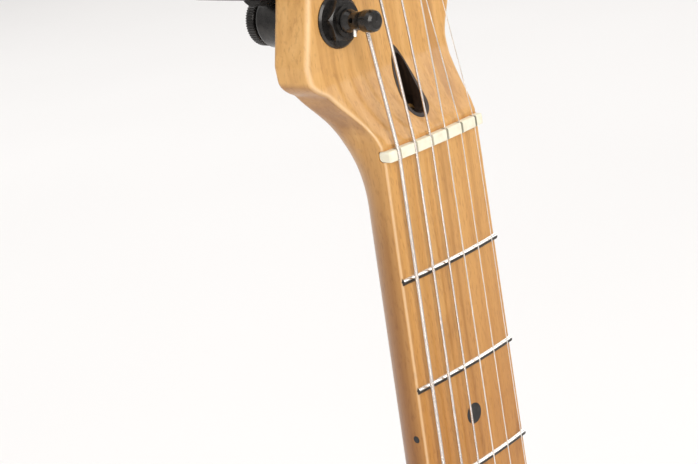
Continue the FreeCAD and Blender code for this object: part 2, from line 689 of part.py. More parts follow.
def make_springs():
    """Springs of the intonation screws and of the pickup height screws, as thin sleeves."""
    springs = []
    floor = BODY_FACE + PLATE_THICKNESS
    for index in range(6):
        across = string_across(index, SCALE)
        crest = SCALE + COMPENSATION[index]
        start = spot(across, -BRIDGE_REAR + 2.0, floor + INTONATION_HEIGHT)
        end = spot(across, -crest - SADDLE_REAR, floor + INTONATION_HEIGHT)
        springs.append(rod(2.1, start, end).cut(rod(1.5, start, end)))
    for place in PICKUPS:
        for across, along in pickup_screw_places(place):
            low, high = PICKUP_TOP - 15.2, BODY_FACE
            springs.append(peg(2.4, across, along, low, high).cut(peg(1.8, across, along, low, high)))
    return springs


# ---------------------------------------------------------------- body and front plate

BODY_OUTLINE = ((-31, -394), (-50, -388), (-71, -366), (-90, -343), (-111, -337), (-132, -358),
                (-142, -402), (-138, -452), (-124, -508), (-117, -556), (-128, -612), (-149, -668),
                (-155, -722), (-131, -768), (-76, -791), (0, -797), (78, -790), (134, -762),
                (159, -708), (152, -650), (129, -598), (116, -552), (121, -504), (135, -456),
                (139, -414), (128, -379), (108, -366), (88, -374), (68, -399), (52, -424),
                (33, -431))
GUARD_OUTLINE = ((-33, -410), (-62, -402), (-92, -396), (-112, -412), (-106, -452), (-86, -505),
                 (-72, -560), (-60, -604), (-46, -626), (0, -630), (44, -628), (56, -648),
                 (72, -676), (96, -697), (120, -694), (126, -668), (112, -626), (101, -585),
                 (97, -540), (101, -495), (110, -452), (104, -424), (84, -424), (58, -440),
                 (33, -441))
CAVITY = ((54, -530), (86, -530), (90, -575), (96, -622), (112, -650), (112, -686),
          (88, -684), (66, -650), (54, -605))
PICKUPS = ((0, -488, 0.0), (0, -546, 0.0), (0, -602, 8.0))
VOLUME = (78, -606)
TONE = (98, -660)
SELECTOR = (72, -556)
JACK_ANGLE = math.radians(22)
JACK = (145.2, -644)
JACK_SLEEVE = 4.75


def heel_pocket(clearance, low, high):
    """The space of the neck's heel, with a clearance all round."""
    half = half_width(NECK_END) + clearance
    start = half_width(POCKET_START) + clearance
    outline = ((-start, -POCKET_START + 20), (start, -POCKET_START + 20), (half, -NECK_END - clearance),
               (-half, -NECK_END - clearance))
    pocket = plate(straight_outline(outline), low, high)
    return softened(pocket, 6.0, lambda edge: edge.BoundBox.YLength > 5 and edge.BoundBox.ZMax < -460)


def turned_about(shape, place):
    """A shape made at the origin, turned in the face's plane and moved to its place."""
    across, along, angle = place
    shape.rotate(V(0, CROWN_Y, 0), V(0, 1, 0), angle)
    shape.translate(V(across, 0, along))
    return shape


def neck_screw_places():
    """The four neck screws, across and along."""
    return [(x, z) for x in (-19, 19) for z in (-404, -454)]


def jack_direction():
    """The way a plug leaves the output socket."""
    return V(math.cos(JACK_ANGLE), 0, math.sin(JACK_ANGLE))


def jack_point(out, lift=0.0):
    """A point on the socket's axis, measured outwards from its plate's inner face."""
    return spot(JACK[0], JACK[1], (BODY_FACE + BODY_BACK) / 2 + lift).add(jack_direction() * out)


def make_body(screws_and_inserts):
    """The wooden body with its pocket, cavities and bores."""
    blank = plate(smooth_outline(BODY_OUTLINE), BODY_BACK, BODY_FACE)
    blank = softened(blank, BODY_ROUNDING, lambda edge: height_of(edge) is not None)
    blank = blank.cut(heel_pocket(0.1, BODY_FACE - POCKET_DEPTH, BODY_FACE + 5))
    for place in PICKUPS:
        hollow = plate(racetrack(98, 24), BODY_FACE - 19, BODY_FACE + 1)
        blank = blank.cut(turned_about(hollow, place))
    blank = blank.cut(block((-12, 60), (-600, -545), (BODY_FACE - 17, BODY_FACE + 1)))
    blank = blank.cut(block((-12, 12), (-546, -488), (BODY_FACE - 17, BODY_FACE + 1)))
    blank = blank.cut(plate(straight_outline(CAVITY), BODY_FACE - 37, BODY_FACE + 1))
    blank = blank.cut(rod(16.0, jack_point(0), jack_point(30)))
    blank = blank.cut(rod(11.0, jack_point(-50), jack_point(1)))
    for index in range(6):
        across = string_across(index, SCALE)
        blank = blank.cut(peg(1.6, across, -BRIDGE_HOLE, BODY_BACK - 1, BODY_FACE + 1))
        blank = blank.cut(peg(4.0, across, -BRIDGE_HOLE, BODY_BACK - 1, BODY_BACK + 9.0))
    for across, along in neck_screw_places():
        blank = blank.cut(peg(2.1, across, along, BODY_BACK - 1, BODY_FACE))
    for seat, outward in strap_places():
        blank = blank.cut(rod(5.7, seat, seat.add(outward * 20)))
    for insert in screws_and_inserts:
        blank = blank.cut(insert)
    return blank


def guard_screw_places():
    """Screws round the front plate's rim."""
    return [(-97, -406), (-99, -450), (-76, -520), (-59, -588), (-41, -620), (42, -623.5),
            (71, -667), (103, -691.5), (121.5, -672), (101, -606), (91, -512), (97, -436),
            (44, -449), (-42, -418)]


def make_guard():
    """The front plate that carries the pickups and controls."""
    guard = plate(smooth_outline(GUARD_OUTLINE), BODY_FACE, BODY_FACE + GUARD_THICKNESS)
    guard = guard.cut(heel_pocket(0.3, BODY_FACE - 1, BODY_FACE + 5))
    for place in PICKUPS:
        window = plate(racetrack(84.6, 19.6), BODY_FACE - 1, BODY_FACE + 5)
        guard = guard.cut(turned_about(window, place))
        for across, along in pickup_screw_places(place):
            guard = guard.cut(peg(1.55, across, along, BODY_FACE - 1, BODY_FACE + 5))
    for across, along in (VOLUME, TONE):
        guard = guard.cut(peg(4.2, across, along, BODY_FACE - 1, BODY_FACE + 5))
    slot = plate(oblong(-1.6, 1.6, 10), BODY_FACE - 1, BODY_FACE + 5)
    guard = guard.cut(turned_about(slot, SELECTOR + (SELECTOR_TURN,)))
    for across, along in selector_screw_places() + guard_screw_places():
        guard = guard.cut(peg(1.5, across, along, BODY_FACE - 1, BODY_FACE + 5))
    return guard


# ---------------------------------------------------------------- pickups

def pickup_screw_places(place):
    """The two height screws of a pickup."""
    across, along, angle = place
    turn = math.radians(angle)
    return [(across + side * math.cos(turn), along - side * math.sin(turn))
            for side in (-PICKUP_SCREW_HALF, PICKUP_SCREW_HALF)]


def pole_places():
    """How far across from a pickup's middle its six poles stand."""
    return [POLE_PITCH * (step - 2.5) for step in range(6)]


PICKUP_TOP = BODY_FACE + 9.0


def make_cover(place):
    """A pickup's plastic cover, with a hole for each pole."""
    cover = plate(racetrack(83.8, 18.8), PICKUP_TOP - 15, PICKUP_TOP)
    cover = softened(cover, 1.6, lambda edge: height_of(edge) is not None
                     and abs(height_of(edge) - PICKUP_TOP) < 0.01)
    cover = cover.cut(plate(racetrack(81.0, 16.0), PICKUP_TOP - 16, PICKUP_TOP - 1.4))
    for across in pole_places():
        cover = cover.cut(peg(2.5, across, 0, PICKUP_TOP - 3, PICKUP_TOP + 1))
    return turned_about(cover, place)


def make_bobbin(place):
    """A pickup's base plate with its two ears, and the upper plate of the coil former."""
    base = plate(racetrack(96, 10), PICKUP_TOP - 17.4, PICKUP_TOP - 15.2)
    base = base.fuse(plate(racetrack(83, 18), PICKUP_TOP - 17.4, PICKUP_TOP - 15.2))
    core = plate(racetrack(58, 6.4), PICKUP_TOP - 15.2, PICKUP_TOP - 3.2)
    upper = plate(racetrack(78, 15), PICKUP_TOP - 3.2, PICKUP_TOP - 1.6)
    former = fused([base, core, upper])
    for across in pole_places():
        former = former.cut(peg(2.4, across, 0, PICKUP_TOP - 20, PICKUP_TOP))
    for side in (-PICKUP_SCREW_HALF, PICKUP_SCREW_HALF):
        former = former.cut(peg(1.3, side, 0, PICKUP_TOP - 20, PICKUP_TOP))
    return turned_about(former, place)


def make_coil(place):
    """The wound copper coil."""
    coil = plate(racetrack(70, 14), PICKUP_TOP - 15.1, PICKUP_TOP - 3.3)
    return turned_about(coil.cut(plate(racetrack(58.4, 6.8), PICKUP_TOP - 16, PICKUP_TOP)), place)


def make_poles(place):
    """The six magnet poles of one pickup."""
    return [turned_about(peg(2.38, across, 0, PICKUP_TOP - 18.4, PICKUP_TOP + 0.7), place)
            for across in pole_places()]


def make_pickup_screws():
    """Height screws: heads on the front plate, threads in the base plates' ears."""
    screws = []
    for place in PICKUPS:
        for across, along in pickup_screw_places(place):
            screws.append(wood_screw(2.6, 1.25, 13.5, spot(across, along, BODY_FACE + GUARD_THICKNESS),
                                     V(0, 1, 0)))
    return screws


# ---------------------------------------------------------------- controls and output

SELECTOR_TURN = -18.0
SELECTOR_PIVOT = BODY_FACE - 12.0


def selector_screw_places():
    """The two screws that hold the switch under the front plate."""
    turn = math.radians(SELECTOR_TURN)
    return [(SELECTOR[0] + side * math.sin(turn), SELECTOR[1] + side * math.cos(turn))
            for side in (-20.5, 20.5)]


def make_selector():
    """The blade switch: a bracket under the front plate and its wafer."""
    under = BODY_FACE - 1.4
    bracket = plate(oblong(-5, 5, 24), under, BODY_FACE)
    window = plate(oblong(-2.4, 2.4, 15), BODY_FACE - 3, BODY_FACE + 1)
    wall = plate(oblong(3.4, 5, 18), BODY_FACE - 26, under)
    wafer = plate(oblong(-5.4, -3.8, 18), BODY_FACE - 28, under)
    floor = plate(oblong(-5.4, 5, 7), BODY_FACE - 28, BODY_FACE - 26)
    pin = rod(1.0, spot(-3.8, 0, SELECTOR_PIVOT), spot(3.4, 0, SELECTOR_PIVOT))
    switch = fused([bracket.cut(window), wall, wafer, floor, pin])
    switch = turned_about(switch, SELECTOR + (SELECTOR_TURN,))
    for across, along in selector_screw_places():
        switch = switch.cut(peg(1.5, across, along, BODY_FACE - 2, BODY_FACE + 1))
    return switch


def make_selector_lever():
    """The lever of the switch with its moulded tip."""
    blade = block((-0.7, 0.7), (-3.2, 3.2), (SELECTOR_PIVOT, BODY_FACE + 11))
    hub = rod(4.6, spot(-0.7, 0, SELECTOR_PIVOT), spot(0.7, 0, SELECTOR_PIVOT))
    tip = block((-2.2, 2.2), (-4.6, 4.6), (BODY_FACE + 7.5, BODY_FACE + 16.5))
    tip = softened(tip, 1.4, lambda edge: True)
    lever = fused([blade, hub, tip])
    lever = lever.cut(rod(1.0 + RUNNING, spot(-3, 0, SELECTOR_PIVOT), spot(3, 0, SELECTOR_PIVOT)))
    return turned_about(lever, SELECTOR + (SELECTOR_TURN,))


def make_pot(place):
    """A potentiometer: a can under the front plate, a threaded bushing and its nut."""
    across, along = place
    top = BODY_FACE + GUARD_THICKNESS
    can = peg(12.0, across, along, BODY_FACE - 11, BODY_FACE - 1.0)
    can = softened(can, 1.5, lambda edge: height_of(edge) is not None and height_of(edge) < BODY_FACE - 10)
    washer = peg(6.5, across, along, BODY_FACE - 1.0, BODY_FACE)
    bushing = peg(4.1, across, along, BODY_FACE, top + 3.0)
    centre = spot(across, along, top)
    corners = [centre.add(V(6.6 * math.cos(math.radians(a)), 0, 6.6 * math.sin(math.radians(a))))
               for a in range(0, 360, 60)]
    nut = Part.Face(Part.makePolygon(corners + corners[:1])).extrude(V(0, -2.0, 0))
    lugs = [block((across + x - 1.2, across + x + 1.2), (along + 12, along + 17),
                  (BODY_FACE - 4.4, BODY_FACE - 3.6)) for x in (-5, 0, 5)]
    base = block((across - 6.6, across + 6.6), (along + 8, along + 13), (BODY_FACE - 5.2, BODY_FACE - 3.0))
    pot = fused([can, washer, bushing, nut, base] + lugs)
    return pot.cut(peg(3.0 + RUNNING, across, along, BODY_FACE - 8.2, top + 5))


def make_pot_shaft(place):
    """The shaft that a knob turns."""
    across, along = place
    return peg(3.0, across, along, BODY_FACE - 8.0, BODY_FACE + GUARD_THICKNESS + 12.5)


def make_knob(place):
    """A skirted, fluted control knob with a pointer line on its skirt."""
    across, along = place
    base = spot(across, along, BODY_FACE + GUARD_THICKNESS + 0.8)
    profile = ((0, 2.6), (7.2, 2.6), (7.2, 0), (12.6, 0), (12.6, 1.2), (11.2, 2.4), (9.4, 4.2),
               (8.8, 7.0), (8.4, 15.2), (7.6, 16.4), (0, 16.8))
    knob = turned(profile, base, V(0, -1, 0))
    flutes = []
    for step in range(20):
        angle = math.radians(step * 18)
        flutes.append(peg(0.7, across + 9.2 * math.cos(angle), along + 9.2 * math.sin(angle),
                          BODY_FACE + GUARD_THICKNESS + 5.8, BODY_FACE + GUARD_THICKNESS + 18))
    knob = knob.cut(group(flutes))
    bore = peg(3.0, across, along, BODY_FACE, BODY_FACE + GUARD_THICKNESS + 12.5)
    return knob.cut(bore)


def make_wiring():
    """The insulated wires between the pickups, the switch, the pots and the socket."""
    upper, lower = BODY_FACE - 15.5, BODY_FACE - 30.0
    routes = (((0, -500, upper), (0, -534, upper)), ((6, -560, upper), (50, -572, upper)),
              ((8, -588, upper), (50, -590, upper)), ((60, -600, lower), (72, -640, lower)),
              ((84, -620, lower), (102, -676, lower)))
    wires = []
    for start, end in routes:
        wires.append(rod(0.9, spot(*start), spot(*end)))
    wires.append(rod(0.9, spot(106, -668, lower), jack_point(-26.5, -4)))
    return wires


def make_jack():
    """The output socket: a threaded sleeve, its nut, frame and contact springs."""
    sleeve = rod(JACK_SLEEVE, jack_point(-9), jack_point(4.0))
    outer_nut = rod(7.2, jack_point(JACK_PLATE_THICKNESS), jack_point(3.6))
    frame = rod(7.8, jack_point(-10.6), jack_point(-9))
    body = fused([sleeve, outer_nut, frame]).cut(rod(3.25, jack_point(-12), jack_point(6)))
    tip = [rod(0.8, jack_point(-10.6, lift), jack_point(-24.0, lift * 0.75)) for lift in (5.6, -5.6)]
    return fused([body] + tip)


def make_jack_plate():
    """The round plate that holds the socket in the body's edge."""
    rim = jack_point(JACK_PLATE_THICKNESS)
    disc = rod(15.6, jack_point(0), rim)
    disc = softened(disc, 0.6, lambda edge: edge.CenterOfMass.distanceToPoint(rim) < 0.1)
    disc = disc.cut(rod(JACK_SLEEVE, jack_point(-1), jack_point(3)))
    for lift in (-JACK_SCREW_LIFT, JACK_SCREW_LIFT):
        disc = disc.cut(rod(1.5, jack_point(-1, lift), jack_point(3, lift)))
    return disc


def make_body_screws():
    """The small screws of the front plate, of the switch and of the socket's plate."""
    screws = []
    top = BODY_FACE + GUARD_THICKNESS
    for across, along in guard_screw_places():
        screws.append(wood_screw(2.7, 1.45, 11.5, spot(across, along, top), V(0, 1, 0)))
    for across, along in selector_screw_places():
        screws.append(wood_screw(2.7, 1.45, 6.0, spot(across, along, top), V(0, 1, 0)))
    inward = jack_direction() * -1
    for lift in (-JACK_SCREW_LIFT, JACK_SCREW_LIFT):
        screws.append(wood_screw(2.7, 1.45, 11.5, jack_point(JACK_PLATE_THICKNESS, lift), inward))
    return screws


# ---------------------------------------------------------------- outside hardware

def make_neck_plate():
    """The steel plate behind the neck joint."""
    outline = ((-25.5, -461.5), (25.5, -461.5), (25.5, -396.5), (-25.5, -396.5))
    outer = BODY_BACK - NECK_PLATE_THICKNESS
    solid = plate(straight_outline(outline), outer, BODY_BACK)
    solid = softened(solid, 3.5, lambda edge: edge.BoundBox.YLength > NECK_PLATE_THICKNESS - 0.01)
    solid = softened(solid, 0.7, lambda edge: height_of(edge) is not None
                     and height_of(edge) < outer + 0.1)
    for across, along in neck_screw_places():
        solid = solid.cut(peg(2.1, across, along, BODY_BACK - 4, BODY_BACK + 1))
    return solid


def make_neck_screws():
    """The four long screws that hold the neck."""
    seat_height = BODY_BACK - NECK_PLATE_THICKNESS
    return [wood_screw(4.4, 2.1, 42.0, spot(across, along, seat_height), V(0, -1, 0))
            for across, along in neck_screw_places()]


def strap_places():
    """Where the strap buttons sit and which way they point."""
    middle = (BODY_FACE + BODY_BACK) / 2
    return ((spot(0, -795.8, middle), V(0, 0, -1)), (spot(-109.0, -338.0, middle), V(0, 0, 1)))


def make_strap_buttons():
    """Two turned strap buttons: foot, waist and flange."""
    profile = ((0, 0), (5.6, 0), (5.6, 1.4), (4.2, 2.6), (4.2, 8.6), (5.2, 9.6), (7.4, 10.2),
               (7.4, 12.0), (6.6, 13.0), (3.8, 13.0), (3.8, 11.0), (0, 11.0))
    buttons = []
    for seat, outward in strap_places():
        button = turned(profile, seat, outward)
        buttons.append(button.cut(rod(1.8, seat.add(outward * -1), seat.add(outward * 14))))
    return buttons


def make_mounting_screws():
    """Equal screws for the bridge plate and the strap buttons."""
    screws = []
    for across, along in bridge_screw_places():
        seat = spot(across, along, BODY_FACE + PLATE_THICKNESS)
        screws.append(wood_screw(3.4, 1.75, 25.0, seat, V(0, 1, 0)))
    for seat, outward in strap_places():
        screws.append(wood_screw(3.4, 1.75, 36.0, seat.add(outward * 11.0), outward * -1))
    return screws


# ---------------------------------------------------------------- everything

def build_parts():
    """Every sub-part by name."""
    ramp = ramp_tool()
    frets = make_frets()
    dots = make_dots()
    liner = make_truss_liner(ramp)
    neck_screws = make_neck_screws()
    mounting_screws = make_mounting_screws()
    body_screws = make_body_screws()
    headstock_screws = make_headstock_screws()
    neck = make_neck(ramp, frets, dots)
    for screw in neck_screws + headstock_screws:
        neck = neck.cut(screw)
    parts = {
        "body_wood": make_body(mounting_screws + body_screws + neck_screws),
        "neck": neck,
        "truss_rod_stripe": make_stripe(),
        "truss_rod": make_truss_rod(),
        "truss_rod_liner": liner,
        "truss_rod_nut": make_truss_nut(),
        "nut": make_nut(),
        "frets": frets,
        "position_dots": dots,
        "neck_plate": make_neck_plate(),
        "neck_screws": group(neck_screws),
        "string_tree": make_tree(),
        "headstock_screws": group(headstock_screws),
        "wound_strings": group([make_string(index) for index in (0, 1, 2)]),
        "plain_strings": group([make_string(index) for index in (3, 4, 5)]),
        "pickguard": make_guard(),
        "body_screws": group(body_screws),
        "pickup_covers": group([make_cover(place) for place in PICKUPS]),
        "pickup_bobbins": group([make_bobbin(place) for place in PICKUPS]),
        "pickup_coils": group([make_coil(place) for place in PICKUPS]),
        "pickup_poles": group([pole for place in PICKUPS for pole in make_poles(place)]),
        "pickup_screws": group(make_pickup_screws()),
        "adjuster_springs": group(make_springs()),
        "bridge_plate": make_bridge_plate(),
        "mounting_screws": group(mounting_screws),
        "saddles": group([make_saddle(index) for index in range(6)]),
        "saddle_screws": group(make_saddle_screws()),
        "string_ferrules": group(make_ferrules()),
        "control_pots": group([make_pot(VOLUME), make_pot(TONE)]),
        "volume_knob": make_knob(VOLUME),
        "volume_pot_shaft": make_pot_shaft(VOLUME),
        "tone_knob": make_knob(TONE),
        "tone_pot_shaft": make_pot_shaft(TONE),
        "selector_switch": make_selector(),
        "selector_lever": make_selector_lever(),
        "wiring": group(make_wiring()),
        "output_jack": make_jack(),
        "jack_plate": make_jack_plate(),
        "strap_buttons": group(make_strap_buttons()),
        "tuner_housings": group([make_housing(index) for index in range(6)]),
        "tuner_washers": group([make_washer(index) for index in range(6)]),
        "tuner_bushings": group([make_bushing(index) for index in range(6)]),
    }
    for index in range(6):
        parts["tuner_post_%d" % (6 - index)] = make_post(index)
        parts["tuner_button_%d" % (6 - index)] = make_button(index)
        parts["lock_wheel_%d" % (6 - index)] = make_wheel(index)
    return parts


def write_parts():
    """One STEP file per sub-part."""
    os.makedirs("parts", exist_ok=True)
    for name, shape in build_parts().items():
        valid = "valid" if shape.isValid() else "NOT VALID"
        print(name, len(shape.Solids), "solids", round(shape.Volume, 1), "mm3", valid)
        shape.exportStep("parts/" + name + ".step")


write_parts()
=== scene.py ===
import json
import math

import bmesh
import bpy
import numpy as np
from mathutils import Matrix, Vector
from mathutils.geometry import delaunay_2d_cdt


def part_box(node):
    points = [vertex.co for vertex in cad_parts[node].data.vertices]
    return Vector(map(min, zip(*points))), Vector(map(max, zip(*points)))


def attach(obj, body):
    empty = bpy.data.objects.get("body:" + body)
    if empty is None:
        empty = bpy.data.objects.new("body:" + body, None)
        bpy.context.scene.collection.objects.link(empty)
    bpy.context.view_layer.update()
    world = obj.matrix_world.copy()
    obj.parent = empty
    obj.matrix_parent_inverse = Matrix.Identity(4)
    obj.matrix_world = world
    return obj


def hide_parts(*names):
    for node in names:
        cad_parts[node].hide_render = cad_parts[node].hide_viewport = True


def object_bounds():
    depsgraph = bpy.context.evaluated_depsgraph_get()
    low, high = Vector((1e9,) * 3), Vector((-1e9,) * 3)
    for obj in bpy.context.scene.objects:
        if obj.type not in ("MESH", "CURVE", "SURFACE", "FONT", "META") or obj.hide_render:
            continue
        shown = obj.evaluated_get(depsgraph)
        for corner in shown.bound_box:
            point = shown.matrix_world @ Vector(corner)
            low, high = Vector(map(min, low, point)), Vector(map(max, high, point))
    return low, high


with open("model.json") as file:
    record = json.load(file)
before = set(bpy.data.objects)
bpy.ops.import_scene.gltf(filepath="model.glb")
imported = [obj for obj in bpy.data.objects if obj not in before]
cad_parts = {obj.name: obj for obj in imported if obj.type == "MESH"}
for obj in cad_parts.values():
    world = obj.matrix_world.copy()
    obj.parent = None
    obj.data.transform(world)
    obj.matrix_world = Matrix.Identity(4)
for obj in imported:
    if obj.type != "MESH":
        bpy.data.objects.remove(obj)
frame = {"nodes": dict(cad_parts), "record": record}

# An electric guitar with a maple neck, upright in a pale studio. +Z runs along the neck to the
# headstock, the face looks along -Y and the treble side is +X. Scene lengths are in metres.

cad_low, cad_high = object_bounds()

MM = 0.001
CROWN_Y = -10.5 * MM          # the fretboard's crown at the nut
HEAD_FACE = 11.0 * MM         # how far the headstock's face lies under the crown
HEAD_BACK = 25.4 * MM         # how far its back lies under the crown
BOARD_RADIUS = 241.3 * MM
GUARD_LOW, GUARD_HIGH = (corner[1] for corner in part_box("pickguard"))
BODY_LOW, BODY_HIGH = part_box("body_wood")

# Lengths from here on are in millimetres: along from the nut's front, heights above the crown.
SCALE = 647.7
NUT_SPREAD = 35.0             # from the first string to the sixth
BRIDGE_SPREAD = 53.0
BRIDGE_HOLE = 664.0
BRIDGE_REAR = 688.0
SADDLE_REAR = 20.5            # a saddle's rear end behind the string's bearing point
INTONATION_HEIGHT = -0.8
BODY_FACE = -8.0
STRING_RADII = (0.62, 0.48, 0.36, 0.23, 0.18, 0.14)
FIRST_PLAIN = 3               # the strings from this index on are plain
COMPENSATION = (3.0, 2.0, 1.2, 2.2, 1.4, 0.4)
POST_WAIST = 2.65
POST_STRING_HEIGHTS = (-3.5, -4.3, -3.4, -2.0, -3.2, -3.2)
JACK = (145.2, -644)
JACK_ANGLE = math.radians(22)
JACK_RECESS, FERRULE_CUP = 16.0, 4.0          # radii
CAVITY = ((54, -530), (86, -530), (90, -575), (96, -622), (112, -650), (112, -686), (88, -684),
          (66, -650), (54, -605))
NUT_BACK = 3.4
RAMP_START, RAMP_END, RAMP_POWER = 4.4, 29.0, 1.64
RAMP_TOP = -0.45              # the wood's height just behind the nut
ROD_DEPTH, ROD_BORE = 11.5, 3.9               # the truss rod's axis and its bore's radius
OPENING_DEPTH = 19.5          # from 4 mm over the crown
OPENING_RADIUS, OPENING_CENTRE, OPENING_STRETCH = 4.6, 12.5, 0.6
OPENING_SIDE = ((4.6, 13.1), (4.6, 19.0), (2.4, 27.0), (0.0, 29.5))    # a Bezier curve's poles


# ---- camera, light and floor

CAMERA_PLACE = (-0.3606, -0.3386, 0.1249)
CAMERA_FORWARD, CAMERA_RIGHT = (0.67997, 0.68172, -0.27000), (0.66985, -0.72731, -0.14941)
CAMERA_LENS, CAMERA_SHIFT = 88.05, (-0.0190, -0.0562)


def add_camera():
    """The camera at the photograph's viewing angle."""
    data = bpy.data.cameras.new("camera")
    data.sensor_width = 36.0
    data.lens = CAMERA_LENS
    data.shift_x, data.shift_y = CAMERA_SHIFT
    data.clip_start = 0.02
    camera = bpy.data.objects.new("camera", data)
    bpy.context.scene.collection.objects.link(camera)
    forward, right = Vector(CAMERA_FORWARD).normalized(), Vector(CAMERA_RIGHT).normalized()
    up = right.cross(forward).normalized()
    turn = Matrix((right, up, -forward)).transposed()
    camera.matrix_world = Matrix.Translation(CAMERA_PLACE) @ turn.to_4x4()
    bpy.context.scene.camera = camera


def add_area_light(name, place, target, size, watts, colour=(1, 1, 1)):
    """A soft rectangular lamp that looks at a target."""
    data = bpy.data.lights.new(name, "AREA")
    data.shape = "RECTANGLE"
    data.size, data.size_y = size
    data.energy = watts
    data.color = colour
    lamp = bpy.data.objects.new(name, data)
    bpy.context.scene.collection.objects.link(lamp)
    lamp.location = place
    lamp.rotation_mode = "QUATERNION"
    lamp.rotation_quaternion = (Vector(target) - Vector(place)).to_track_quat("-Z", "Y")


def add_lights():
    """Soft boxes in front and beside, and a large panel over the floor behind."""
    add_area_light("key_box", (-0.75, -1.75, 0.95), (0, 0, 0.0), (0.9, 1.5), 24, (1.0, 0.985, 0.96))
    add_area_light("side_box", (1.35, -1.25, 0.80), (0, 0, -0.1), (0.6, 1.1), 6)
    add_area_light("edge_strip", (-1.45, -0.6, -0.12), (0, 0, -0.1), (0.07, 0.9), 4.0)
    add_area_light("sky_panel", (2.0, 2.6, 3.6), (2.0, 2.6, 0), (7.0, 7.0), 172)


def add_sky():
    """A white sky that brightens upwards and towards the back."""
    world = bpy.data.worlds.new("studio")
    world.use_nodes = True
    nodes, links = world.node_tree.nodes, world.node_tree.links
    nodes.clear()
    place = nodes.new("ShaderNodeTexCoord")
    split = nodes.new("ShaderNodeSeparateXYZ")
    depth, spread = nodes.new("ShaderNodeMath"), nodes.new("ShaderNodeMath")
    depth.operation = spread.operation = "MULTIPLY_ADD"
    depth.inputs[1].default_value = 0.35
    spread.inputs[1].default_value = spread.inputs[2].default_value = 0.5
    ramp = nodes.new("ShaderNodeValToRGB")
    for element, (stop, level) in zip(ramp.color_ramp.elements, ((0.30, 0.50), (0.75, 0.80))):
        element.position = stop
        element.color = (level, level * 0.99, level * 0.98, 1)
    glow = nodes.new("ShaderNodeBackground")
    glow.inputs["Strength"].default_value = 0.75
    out = nodes.new("ShaderNodeOutputWorld")
    for start, end in ((place.outputs["Generated"], split.inputs[0]),
                       (split.outputs["Y"], depth.inputs[0]), (split.outputs["Z"], depth.inputs[2]),
                       (depth.outputs[0], spread.inputs[0]), (spread.outputs[0], ramp.inputs[0]),
                       (ramp.outputs[0], glow.inputs["Color"]), (glow.outputs[0], out.inputs[0])):
        links.new(start, end)
    bpy.context.scene.world = world
    bpy.context.scene.view_settings.view_transform = "Standard"


def add_floor():
    """A plain pale floor just under the guitar."""
    mesh = bpy.data.meshes.new("floor")
    reach, level = 12.0, cad_low.z - 0.001
    corners = [(-reach, -reach, level), (reach, -reach, level), (reach, reach, level),
               (-reach, reach, level)]
    mesh.from_pydata(corners, [], [(0, 1, 2, 3)])
    floor = bpy.data.objects.new("floor", mesh)
    bpy.context.scene.collection.objects.link(floor)
    paper = Finish("studio_floor", roughness=0.9)
    paper.colour(paper.ramp(paper.noise(0.6, 2), ((0.3, (0.88, 0.865, 0.855)),
                                                  (0.7, (0.91, 0.895, 0.885)))))
    mesh.materials.append(paper.material)


# ---- materials

MIX_SOCKETS = (6, 7, 0)       # a Mix node's two colours and its factor


